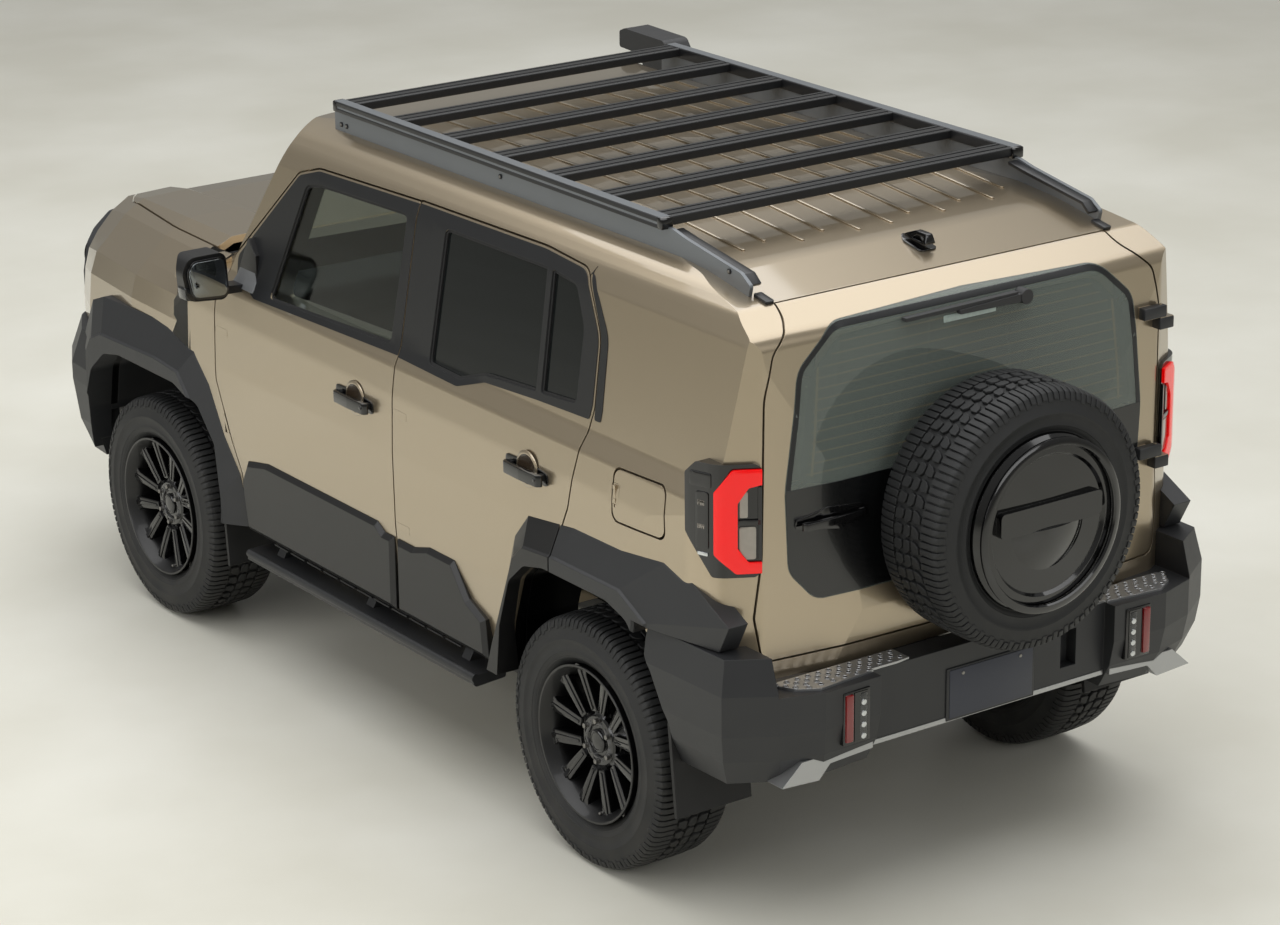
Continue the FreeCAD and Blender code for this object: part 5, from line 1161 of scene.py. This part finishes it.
@dataclass
class RearBumperTrim:
    """Raised holes of the step plates, and the blank plate in the rear bumper."""

    plate_top: float = 760.0
    number_y: float = 2033.0
    hole: tuple[tuple[float, float], ...] = ((9.5, 0.0), (9.0, 1.8), (7.4, 2.2), (6.0, 1.2), (6.0, 0.0))
    rows: tuple[tuple[float, float, float, int], ...] = (
        (1968.0, 320.0, 728.0, 12), (1990.0, 336.0, 712.0, 11), (2012.0, 320.0, 694.0, 11), (2034.0, 452.0, 664.0, 6))

    def build(self) -> None:
        """Make the pieces."""
        self._treads()
        self._number_plate()

    def _treads(self) -> None:
        """Round raised holes in rows on both step plates, with a black disc of painted shade in each."""
        piece = Piece("step_plate_holes", SILVER, HOLE_PAINTED_SHADE)
        top = self.plate_top
        for y, x0, x1, count in self.rows:
            for i in range(count):
                x = x0 + (x1 - x0) * i / (count - 1)
                piece.both(turned(self.hole, (x, y, top - 0.2), UP, 12, closed=True))
                # Black disc that fills the hole's opening: painted shade.
                piece.both(rod((x, y, top - 0.5), (x, y, top + 0.5), 6.4, 12), 1)
        piece.done("root", "silver")

    def _number_plate(self) -> None:
        """Blank dark plate in the recess, on its carrier, with two screws."""
        piece = Piece("plate_blank", PLATE_DARK, CLAD, STEEL)
        y = self.number_y
        piece.add(block((-166, y - 2, 528), (166, y + 4, 690), soft=3.0), 1)
        piece.add(block((-156, y + 3.5, 536), (156, y + 6.5, 684), soft=1.2), 0)
        for x in (-108, 108):
            piece.add(rod((x, y + 6, 668), (x, y + 9, 668), 5.5, 12, soft=0.8), 2)
        piece.done("root", "clad_black")


# Roof


@dataclass
class RoofFittings:
    """Roof ribs, and the platform's black rails, sloped flanges and bolts."""

    lines: CabLines
    rail_low: float = 1925.0
    rail_top: float = 1959.6
    rail_in: float = 631.0
    rail_out: float = 670.0
    front_y: float = -416.0
    rear_y: float = 1365.0
    rib_start: float = -250.0
    rib_half: float = 6.0
    ribs: tuple[tuple[float, float], ...] = (
        (60, 1492), (160, 1448), (262, 1486), (362, 1436), (462, 1470), (552, 1410))
    bolts: tuple[tuple[float, float], ...] = ((-400.0, 1880.0), (-368.0, 1880.0), (512.0, 1900.0), (1650.0, 1868.0))

    def build(self) -> None:
        """Make the pieces."""
        self._ribs()
        self._rails()
        self._flanges()

    def _ribs(self) -> None:
        """Narrow raised ribs along the roof, of staggered length."""
        piece = Piece("roof_ribs", PAINT)
        for x, end in self.ribs:
            for mid in (-x, x):
                shape = oblong(mid - self.rib_half, mid + self.rib_half, self.rib_start, end, 5, 3)
                piece.add(overlay(self.lines.roof, shape, TRIM_LIFT, 4.0, 70.0, soft=1.4))
        piece.done("root", "shell_paint")

    def _rails(self) -> None:
        """Grooved black rails along both sides, with capped ends."""
        piece = Piece("rack_rails_black", SATIN, GLOSS)
        low, top, left, right = self.rail_low, self.rail_top, self.rail_in, self.rail_out
        section = rounded([
            (left, low, 3), (right, low, 3), (right, 1936), (667, 1938), (667, 1943), (right, 1945), (right, top, 5),
            (658, top), (656, 1957), (648, 1957), (646, top), (left, top, 5)])
        piece.both(prism(Plane.REAR, section, self.front_y + 6, self.rear_y - 6, soft=0.6))
        for y in (self.front_y, self.rear_y - 26):
            piece.both(block((left - 1.5, y, low - 1.5), (right + 1.5, y + 26, top + 0.3), soft=6.0), 1)
        piece.done("root", "rack_black")

    def _flanges(self) -> None:
        """Black flange along each fin's rear slope, gutter ends, and the fins' bolts."""
        piece = Piece("rack_flanges", SATIN, STEEL)
        slope = rounded([(1372, 1924), (1440, 1912, 30), (1706, 1871, 10), (1736, 1846), (1728, 1838), (1700, 1862, 10),
                         (1438, 1902, 30), (1372, 1914)])
        piece.both(prism(Plane.SIDE, slope, 602.0, 637.0, soft=1.0))
        piece.both(overlay(self.lines.roof, oblong(606, 634, 1738, 1797, 5), 0.1, 9.0, 40.0, soft=2.0))
        for y, z in self.bolts:
            piece.both(rod((646, y, z), (652, y, z), 8.5, 6, soft=1.0), 0)
            piece.both(rod((651, y, z), (653, y, z), 4.0, 12), 1)
        piece.done("root", "rack_black")


# Wheel discs


@dataclass
class WheelDisc:
    """Black wheel with six forked spokes, drawn for the left side."""

    half: float = 132.5
    lip: float = 240.0
    bore: float = 214.0
    hub: float = 80.0
    spokes: int = 6
    dish: float = 26.0
    nut_circle: float = 64.0
    arm: tuple[Corner, ...] = ((1, 92, 6), (30, 84, 6), (80, 196, 10), (92, 224), (30, 230), (36, 200, 10))
    rib: tuple[Corner, ...] = ((15, 96, 3), (24, 94, 3), (72, 210, 3), (56, 214, 3))

    def _barrel(self) -> Solid:
        """Rim barrel with its outer lip and bead seat."""
        w, r = self.half, self.lip
        profile = [
            (r, -w + 8), (r - 8, -w + 22), (r - 8, w - 22), (r + 2, w - 4), (r + 1, w - 1.5), (r - 5, w - 1.5),
            (r - 10, w - 8), (r - 15, w - 20), (self.bore + 2, w - 34), (self.bore - 4, w - 60),
            (self.bore - 6, w - 120), (self.bore - 2, -w + 30), (r - 16, -w + 8)]
        return turned(profile, (0, 0, 0), ACROSS, 96, closed=True)

    def _spoke(self) -> list[tuple[Solid, int]]:
        """Forked spoke that points up: two arms leaning in towards the hub, and the petal they grow from, a painted
        highlight.
        """
        face = self.half - 32.0
        lean = Matrix.Rotation(math.atan2(self.dish, self.bore), 4, "Y")
        shift = Matrix.Translation((face - self.dish, 0, 0))
        solids = []
        for side in (-1, 1):
            for shape, low, high, soft in ((self.arm, -46.0, 0.0, 9.0), (self.rib, -2.0, 4.0, 1.6)):
                outline = rounded((side * c[0], *c[1:]) for c in shape)
                solids.append((prism(Plane.SIDE, outline, low, high, soft=soft), 0))
        for solid, _ in solids:
            bmesh.ops.transform(solid, matrix=shift @ lean, verts=solid.verts)
        # The petal's lighter metal finish is a painted highlight on the gloss black wheel.
        leaf = [(face - 58, 46), (face - 16, 46), (face - 14, 56), (face - 42, 122), (face - 58, 124)]
        petal = prism(Plane.REAR, leaf, -27.0, 27.0, soft=5.0)
        return solids + [(petal, 2)]

    def _middle(self) -> list[tuple[Solid, int]]:
        """Hub face, centre cap and six nuts."""
        face = self.half - 58.0
        r = self.hub
        hub = turned([(0, -30), (r - 6, -30), (r, -20), (r, 2), (r - 6, 8), (52, 10), (46, 4), (38, 4), (0, 4)],
                     (face, 0, 0), ACROSS)
        cap = turned([(0, 2), (36, 2), (36, 12), (33, 15), (27, 16), (25, 14), (0, 18)], (face, 0, 0), ACROSS, 40)
        parts = [(hub, 0), (cap, 0)]
        for i in range(self.spokes):
            angle = math.tau * (i + 0.5) / self.spokes
            y, z = self.nut_circle * math.cos(angle), self.nut_circle * math.sin(angle)
            parts.append((rod((face + 4, y, z), (face + 8, y, z), 13.0, 20, soft=1.0), 0))
            parts.append((rod((face + 7, y, z), (face + 22, y, z), 8.5, 6, soft=1.4), 1))
        return parts

    def build(self, name: str, centre: Vector, body: str, node: str, side: str) -> None:
        """Make one wheel disc.

        Args:
            name: name of the piece.
            centre: middle of the tyre.
            body: what it turns with.
            node: CAD node that it replaces.
            side: left, or right for the mirror image.
        """
        solids = [(self._barrel(), 3)] + self._middle()
        for i in range(self.spokes):
            turn = Matrix.Rotation(math.tau * i / self.spokes, 4, "X")
            for solid, finish in self._spoke():
                bmesh.ops.transform(solid, matrix=turn, verts=solid.verts)
                solids.append((solid, finish))
        solids.append((rod((-118.0, 0, 0), (self.half - 60.0, 0, 0), 60.0, 32, soft=2.0), 1))
        solids.append((rod((self.half - 34.0, 40, -212), (self.half - 22.0, 40, -212), 4.5, 12, soft=1.0), 1))
        piece = Piece(name, GLOSS, STEEL, WHEEL_FACE_PAINTED_HIGHLIGHT, WHEEL_BLACK).all(solids, side)
        bmesh.ops.translate(piece.bm, verts=piece.bm.verts, vec=centre)
        piece.done(body, "rim", replaces=[node])


# Seats


@dataclass(frozen=True)
class Pad:
    """One kind of cushion, of which there is one on each side.

    Its seams run lengthwise, at shares of its half width, and its cross seams at shares of its length, which lies
    along the axis named last.
    """

    name: str
    middle: float
    width: float
    profile: tuple[Corner, ...]
    seams: tuple[float, ...]
    cross: tuple[float, ...]
    along: int


FRONT_PADS = (
    Pad("seat_cushion", 370.0, 496.0, ((-430, 790, 40), (-420, 930, 50), (60, 902, 40), (76, 790, 20)),
        (-0.52, 0.52), (0.35, 0.62), 1),
    Pad("seat_back", 370.0, 496.0, ((-2, 905, 30), (73, 1476, 60), (176, 1476, 50), (132, 905, 30)),
        (-0.52, 0.52), (0.30, 0.58), 2),
    Pad("headrest", 370.0, 246.0, ((99, 1494, 20), (107, 1656, 40), (188, 1648, 40), (178, 1494, 20)),
        (-0.7, 0.7), (), 2))
BENCH_PADS = (
    Pad("bench_cushion", 281.0, 556.0, ((546, 806, 30), (556, 954, 50), (934, 930, 30), (940, 806, 20)),
        (-0.5, 0.5), (0.5,), 1),
    Pad("bench_back", 281.0, 556.0, ((946, 905, 30), (1052, 1474, 50), (1136, 1474, 40), (1088, 905, 30)),
        (-0.5, 0.5), (0.4,), 2),
    Pad("bench_rest", 300.0, 236.0, ((1062, 1492, 16), (1074, 1616, 30), (1136, 1608, 30), (1128, 1492, 16)),
        (-0.7, 0.7), (), 2))


@dataclass
class SeatMaker:
    """Padded seats: each kind of cushion is puffed once by a cloth run, then copied to its places."""

    voxel: float = 10.0
    cap: float = 22.0
    frames: int = 20
    pressure: float = 4.0
    channel: float = 5.0
    channel_half: float = 0.007
    inset: float = 9.0
    forms: dict[str, bpy.types.Mesh] = field(default_factory=dict)

    def _remeshed(self, pad: Pad) -> bpy.types.Object:
        """Smaller, evenly divided form that the pressure swells back to size, in metres."""
        half = pad.width / 2 - self.inset
        solid = prism(Plane.SIDE, grown(rounded(pad.profile, 6), -self.inset), -half, half, soft=22.0)
        bmesh.ops.scale(solid, vec=(MM, MM, MM), verts=solid.verts)
        bmesh.ops.triangulate(solid, faces=solid.faces)
        rough = linked("form", as_mesh(solid, "form"))
        remesh = rough.modifiers.new("even", "REMESH")
        remesh.mode = "VOXEL"
        remesh.voxel_size = self.voxel * MM
        even = bpy.data.meshes.new_from_object(rough.evaluated_get(bpy.context.evaluated_depsgraph_get()))
        bpy.data.objects.remove(rough)
        return linked(pad.name, even)

    def _puffed(self, pad: bpy.types.Object) -> None:
        """Run the cloth and keep its result, with each point's move capped."""
        rest = [v.co.copy() for v in pad.data.vertices]
        cloth = pad.modifiers.new("puff", "CLOTH")
        cloth.settings.use_pressure = True
        cloth.settings.uniform_pressure_force = self.pressure
        cloth.settings.effector_weights.gravity = 0.0
        cloth.settings.quality = 3
        cloth.point_cache.frame_start = 1
        cloth.point_cache.frame_end = self.frames
        for frame in range(1, self.frames + 1):
            bpy.context.scene.frame_set(frame)
        held = pad.evaluated_get(bpy.context.evaluated_depsgraph_get())
        moved = [v.co.copy() for v in held.data.vertices]
        pad.modifiers.remove(cloth)
        bpy.context.scene.frame_set(1)
        for vert, old, new in zip(pad.data.vertices, rest, moved):
            step = new - old
            if step.length > self.cap * MM:
                step *= self.cap * MM / step.length
            vert.co = old + step

    def _sewn(self, mesh: bpy.types.Mesh, pad: Pad) -> None:
        """Press the sewn channels into a pad's mesh, in metres."""
        coords = [v.co for v in mesh.vertices]
        half = max(abs(c.x) for c in coords)
        low, high = min(c[pad.along] for c in coords), max(c[pad.along] for c in coords)
        normals = [v.normal.copy() for v in mesh.vertices]
        inner = max(abs(s) for s in pad.seams)
        for vert, normal in zip(mesh.vertices, normals):
            share = vert.co.x / half
            length = (vert.co[pad.along] - low) / (high - low)
            gaps = [(share - s) * half for s in pad.seams]
            if abs(share) <= inner:
                gaps += [(length - c) * (high - low) for c in pad.cross]
            press = sum(math.exp(-(gap / self.channel_half) ** 2) for gap in gaps)
            vert.co -= normal * min(press, 1.0) * self.channel * MM

    def _place(self, pad: Pad, side: str) -> None:
        """One pad at its place on one side."""
        if pad.name not in self.forms:
            form = self._remeshed(pad)
            self._puffed(form)
            self._sewn(form.data, pad)
            self.forms[pad.name] = form.data.copy()
            bpy.data.objects.remove(form)
        mesh = self.forms[pad.name].copy()
        for vert in mesh.vertices:
            vert.co.x += (pad.middle if side == "left" else -pad.middle) * MM
        mesh.shade_smooth()
        mesh.materials.clear()
        mesh.materials.append(LEATHER.material())
        made = linked(f"{pad.name}_{side}", mesh)
        divide = made.modifiers.new("smooth", "SUBSURF")
        divide.levels = divide.render_levels = 1
        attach(made, "root")

    def build(self) -> None:
        """Make all seats, with their bases and posts."""
        for pads in (FRONT_PADS, BENCH_PADS):
            for side in SIDES:
                for pad in pads:
                    self._place(pad, side)
        base = Piece("seat_bases", CABIN, STEEL)
        base.both(block((164, -366, 606), (576, 66, 796), soft=12.0))
        base.both(block((148, -140, 795), (592, 106, 902), soft=16.0))
        for x in (310, 430):
            base.both(rod((x, 140, 1470), (x, 142, 1500), 6.0, 14), 1)
        for x in (226, 336):
            base.both(rod((x, 1095, 1468), (x, 1098, 1500), 6.0, 14), 1)
        base.add(block((-516, 604, 606), (516, 936, 812), soft=8.0))
        base.add(block((-540, 940, 812), (540, 1080, 906), soft=12.0))
        base.done("root", "cabin_trim", replaces=["seats"])


# Small outside fittings


@dataclass
class SmallParts:
    """Roof fin, wing shoulders, hinge skins, step treads and the ring of the spare wheel's cover."""

    lines: CabLines
    wing_line: tuple[tuple[float, float], ...] = (
        (697, 1309), (720, 1297.5), (760, 1268.5), (800, 1231.5), (840, 1188), (858, 1149), (868, 1090), (872.5, 1040),
        (876, 1010))
    pillar_line: tuple[tuple[float, float], ...] = (
        (697, 1313.5), (720, 1304), (745, 1290), (790, 1287), (835, 1287), (862, 1283), (869, 1262), (875.8, 1195),
        (883.2, 1010))
    wing_y: float = -1192.0
    pillar_y: float = -1046.0
    shoulder_thick: float = 1.5
    tread_pitch: float = 104.0

    def build(self) -> None:
        """Make the pieces."""
        self._fin()
        self._shoulders()
        self._skins()
        self._steps()
        self._cover()

    def _fin(self) -> None:
        """Open three-sided aerial fin on its base."""
        foot = rounded([(-25, 1566, 20), (-56, 1620, 24), (-58, 1700, 16), (8, 1700, 16), (6, 1620, 24)])
        base = overlay(self.lines.roof, foot, TRIM_LIFT, 5.0, 20.0, soft=2.0)
        outer = rounded([(1590, 1850, 8), (1650, 1872, 6), (1702, 1871, 8), (1706, 1838, 8)], 4)
        inner = rounded([(1638, 1850, 4), (1660, 1861, 4), (1690, 1861, 6), (1692, 1846, 6)], 4)
        solid = pushed(filled(*([(-44.0, y, z) for y, z in outline] for outline in (outer, inner))), (38, 0, 0))
        for vert in solid.verts:
            rise = max(vert.co.z - 1840.0, 0.0)
            vert.co.x += (-25.0 - vert.co.x) * min(rise / 60.0, 0.5)
        bmesh.ops.recalc_face_normals(solid, faces=solid.faces)
        fin = Piece("roof_fin", GLOSS).add(base).add(softened(solid, 2.0, angle=40.0))
        fin.done("root", "gloss_black", replaces=["antenna_pod"])

    def _skins(self) -> None:
        """Thin outer skin over each hinge pocket."""
        lay = partial(overlay, self.lines.left)
        spots = {"front": ((-873.5, -795.0, 1130.0), (-788.0, -783.0, 760.0)),
                 "rear": ((229.0, 306.0, 1130.0), (229.0, 306.0, 760.0))}
        for side in SIDES:
            for door in ENDS:
                patches = [(lay(oblong(y0, y1, z - 13, z + 13, 3), *SKIN), 0) for y0, y1, z in spots[door]]
                Piece(f"hinge_skin_{door}_{side}", PAINT).all(patches, side).done(f"door_{door}_{side}", "paint")
        for name, body, y0, y1 in (("flap", "fuel_flap", 1398.8, 1428.0), ("quarter", "root", 1374.0, 1391.4)):
            patch = lay(oblong(y0, y1, 1168, 1228, 3), *SKIN)
            Piece("hinge_skin_" + name, PAINT).add(patch).done(body, "paint")
        corner = lay([(-806.7, 778), (-833, 838), (-846, 838), (-820, 778)], *SKIN)
        Piece("wing_corner_skin", PAINT).both(corner).done("root", "paint")

    def _shoulders(self) -> None:
        """Painted shoulder that leads each wing's top up to the foot of the windscreen pillar, and the cowl's seal."""
        solid = bmesh.new()
        near = [solid.verts.new((x, self.wing_y, z)) for x, z in self.wing_line]
        bmesh.ops.extrude_edge_only(solid, edges=[solid.edges.new(pair) for pair in zip(near, near[1:])])
        for vert, (x, z) in zip(near, self.pillar_line):
            ends = [edge.other_vert(vert) for edge in vert.link_edges]
            next(end for end in ends if end not in near).co = (x, self.pillar_y, z)
        bmesh.ops.solidify(solid, geom=solid.faces[:], thickness=self.shoulder_thick)
        bmesh.ops.recalc_face_normals(solid, faces=solid.faces)
        Piece("wing_shoulders", PAINT).both(solid).done("root", "paint")
        seal = block((-695, -1164.5, 1240), (695, -1153, 1288), soft=2.0)
        Piece("cowl_seal", RUBBER).add(seal).done("root", "rubber")

    def _steps(self) -> None:
        """Bright-edged tread pads on both side steps."""
        low, high = extent("side_steps")
        piece = Piece("step_treads", SATIN, SILVER)
        out, top = high.x, high.z
        y = low.y + 120.0
        while y < high.y - 160.0:
            piece.both(block((out - 118, y, top - 4), (out - 46, y + 88, top + 2.5), soft=2.0))
            for x in range(-112, -44, 17):
                piece.both(block((out + x, y + 8, top + 1.5), (out + x + 8, y + 80, top + 4.0), soft=1.0))
            y += self.tread_pitch
        piece.done("root", "clad_black")

    def _cover(self) -> None:
        """Ring round the spare wheel's cover."""
        low, high = extent("spare_cover")
        outer = (high.x - low.x) / 2
        centre = ((low.x + high.x) / 2, high.y - 0.6, (low.z + high.z) / 2)
        ring = turned([(outer - 2, -16.0), (outer - 1, -8.0), (outer - 8, -3.0), (outer - 22, -2.4), (outer - 26, -8.0),
                       (outer - 24, -16.0)], centre, BEHIND, 96, closed=True)
        Piece("spare_cover_rings", GLOSS, SATIN).add(ring).done("back_door", "gloss_black")


@dataclass
class FrontParts:
    """Headlamp rings and lenses, fog lamps and grille mesh."""

    lamp_x: float = 585.0
    lamp_z: float = 1040.0
    fog: tuple[float, float, float] = (565.0, -2236.0, 660.0)
    wire_pitch: float = 26.0
    wire: float = 2.4

    def build(self) -> None:
        """Make the pieces."""
        self._headlamps()
        self._fogs()
        self._mesh()

    def _headlamps(self) -> None:
        """Outer ring, bright ring and two round lenses in each lamp."""
        face = extent("headlamps")[0].y + 1.0
        spot = (self.lamp_x, face, self.lamp_z)
        piece = Piece("headlamp_parts", GLOSS, BRIGHT, SMOKED_LENS, WHITE_RING)
        piece.both(turned([(70, -6), (62, 5), (74, 7), (79, -2)], spot, AHEAD, 56, closed=True), 0)
        piece.both(turned([(61, -4), (56, 3), (50, 4), (48, -4)], spot, AHEAD, 56, closed=True), 3)
        for z in (self.lamp_z - 20.0, self.lamp_z + 20.0):
            spot = (self.lamp_x, face, z)
            piece.both(turned([(0, 7), (8, 6.4), (14, 4.2), (17.5, 0), (17.5, -6), (0, -6)], spot, AHEAD, 32), 2)
            piece.both(turned([(17, -6), (17, 2), (20, 3), (23, -6)], spot, AHEAD, 32, closed=True), 1)
        piece.done("root", "lamp_clear")

    def _fogs(self) -> None:
        """Round fog lamps in the bumper's pockets."""
        piece = Piece("fog_lamps", GLOSS, SMOKED_LENS, BRIGHT)
        piece.both(turned([(30, -10), (30, 3), (34, 5), (37, -10)], self.fog, AHEAD, 40, closed=True), 0)
        piece.both(turned([(0, 3), (18, 1.6), (29, -2), (29, -9), (0, -9)], self.fog, AHEAD, 40), 1)
        piece.done("root", "lamp_clear")

    def _mesh(self) -> None:
        """Crossed wires behind the grille bars."""
        y = extent("grille_mask")[0].y + 46.0
        piece = Piece("grille_mesh", SATIN)
        bottom, rise, half = 934.0, 202.0, 404.0
        x = -half - rise
        while x < half:
            start, stop = max(-half - x, 0.0), min(half - x, rise)
            if stop - start > 20:
                for lean in (1, -1):
                    ends = [(lean * (x + share), y + lean, bottom + share) for share in (start, stop)]
                    piece.add(rod(*ends, self.wire, 6))
            x += self.wire_pitch
        piece.done("root", "gloss_black")


# Studio


@dataclass
class Studio:
    """Floor, lamps and camera."""

    floor_size: float = 60.0
    spot: tuple[float, float, float] = (6.6141, 9.5997, 4.7603)
    turn: tuple[float, float, float] = (70.864, 0.553, 144.375)
    focal: float = 3749.46
    picture: int = 1280
    sensor: float = 36.0
    lamps: tuple[tuple[str, Corner, Corner, tuple[float, float], float], ...] = (
        ("overhead", (0.0, -1.0, 9.0), (0.0, -1.0, 0.0), (15.0, 15.0), 1250.0),
        ("left_bank", (10.0, 0.5, 4.6), (0.0, 0.3, 0.9), (12.0, 4.0), 330.0),
        ("rear_bank", (-1.0, 9.5, 4.2), (0.0, 1.0, 0.9), (6.0, 3.0), 110.0))

    def build(self) -> None:
        """Set up everything that isn't the object."""
        self._floor()
        self._lamps()
        self._camera()

    def _floor(self) -> None:
        """Pale polished floor."""
        solid = bmesh.new()
        bmesh.ops.create_grid(solid, x_segments=1, y_segments=1, size=self.floor_size / 2)
        mesh = as_mesh(solid, "studio_floor")
        made = bpy.data.materials.new("studio_floor")
        made.use_nodes = True
        wire = Wiring(made.node_tree)
        cloud = wire.noise(wire.node("TexCoord").outputs["Object"], 0.9, 7.0)
        colour = wire.ramp(cloud, (0.35, (0.70, 0.685, 0.60, 1.0)), (0.70, (0.80, 0.79, 0.715, 1.0)))
        wire.feed(made.node_tree.nodes["Principled BSDF"], {"Base Color": colour, "Roughness": 0.34})
        mesh.materials.append(made)
        linked("studio_floor", mesh)

    def _lamp(self, name: str, spot: Sequence[float], aim: Sequence[float], size: tuple[float, float],
              power: float) -> None:
        """Soft area lamp.

        Args:
            name: its name.
            spot: where it hangs.
            aim: what it points at.
            size: its width and height.
            power: its strength in watts.
        """
        data = bpy.data.lights.new(name, "AREA")
        data.shape = "RECTANGLE"
        data.size, data.size_y = size
        data.energy = power
        lamp = linked(name, data)
        lamp.location = spot
        lamp.rotation_euler = (Vector(aim) - Vector(spot)).to_track_quat("-Z", "Y").to_euler()

    def _lamps(self) -> None:
        """Grey room, and its softboxes overhead, on the left and behind."""
        world = bpy.data.worlds.new("room")
        bpy.context.scene.world = world
        world.use_nodes = True
        wire = Wiring(world.node_tree)
        up = wire.node("SeparateXYZ", {0: wire.node("TexCoord").outputs["Generated"]}).outputs["Z"]
        lift = wire.sum("ADD", wire.sum("MULTIPLY", up, 0.5), 0.5)
        colour = wire.ramp(lift, (0.45, (0.62, 0.61, 0.56, 1.0)), (0.90, (0.95, 0.95, 0.93, 1.0)))
        wire.feed(world.node_tree.nodes["Background"], {"Color": colour, "Strength": 0.34})
        for lamp in self.lamps:
            self._lamp(*lamp)

    def _camera(self) -> None:
        """Camera where the photograph was taken from."""
        data = bpy.data.cameras.new("photo_camera")
        data.sensor_width = self.sensor
        data.lens = self.focal / self.picture * data.sensor_width
        data.clip_end = 100.0
        camera = linked("photo_camera", data)
        camera.location = self.spot
        camera.rotation_euler = [math.radians(angle) for angle in self.turn]
        bpy.context.scene.camera = camera


def main() -> None:
    """Build the dressed object."""
    logging.basicConfig(level=logging.INFO, format="%(name)s %(message)s")
    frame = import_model()
    own = {"rear_lamps": GLOSS, "back_glass": TINT_GLASS}
    # The trim nodes get the darker copy of the clad plastic; its extra darkness is painted shade.
    own.update({f"trim_{end}_{side}": CLAD_PAINTED_SHADE for end in ENDS for side in SIDES})
    NodeDressing(own).dress(frame["nodes"])
    lines = CabLines()
    for maker in (SideGlazing(lines), DoorHardware(lines), BackDoorTrim(lines), RearLamps(lines), RearBumperTrim(),
                  RoofFittings(lines), SmallParts(lines), FrontParts(), SeatMaker()):
        maker.build()
    wheels = WheelSet()
    disc = WheelDisc()
    for end in ENDS:
        for side in SIDES:
            name = f"{end}_{side}"
            low, high = extent("tyre_" + name)
            centre = (low + high) / 2
            wheels.tyre("tread_tyre_" + name, centre, "wheel_" + name, "tyre_" + name)
            disc.build("wheel_disc_" + name, centre, "wheel_" + name, "rim_" + name, side)
    low, high = extent("spare_tyre")
    wheels.tyre("tread_tyre_spare", (low + high) / 2, "back_door", "spare_tyre", upright=False)
    Studio().build()
    bpy.context.scene.view_settings.view_transform = "Standard"


if __name__ == "__main__":
    main()
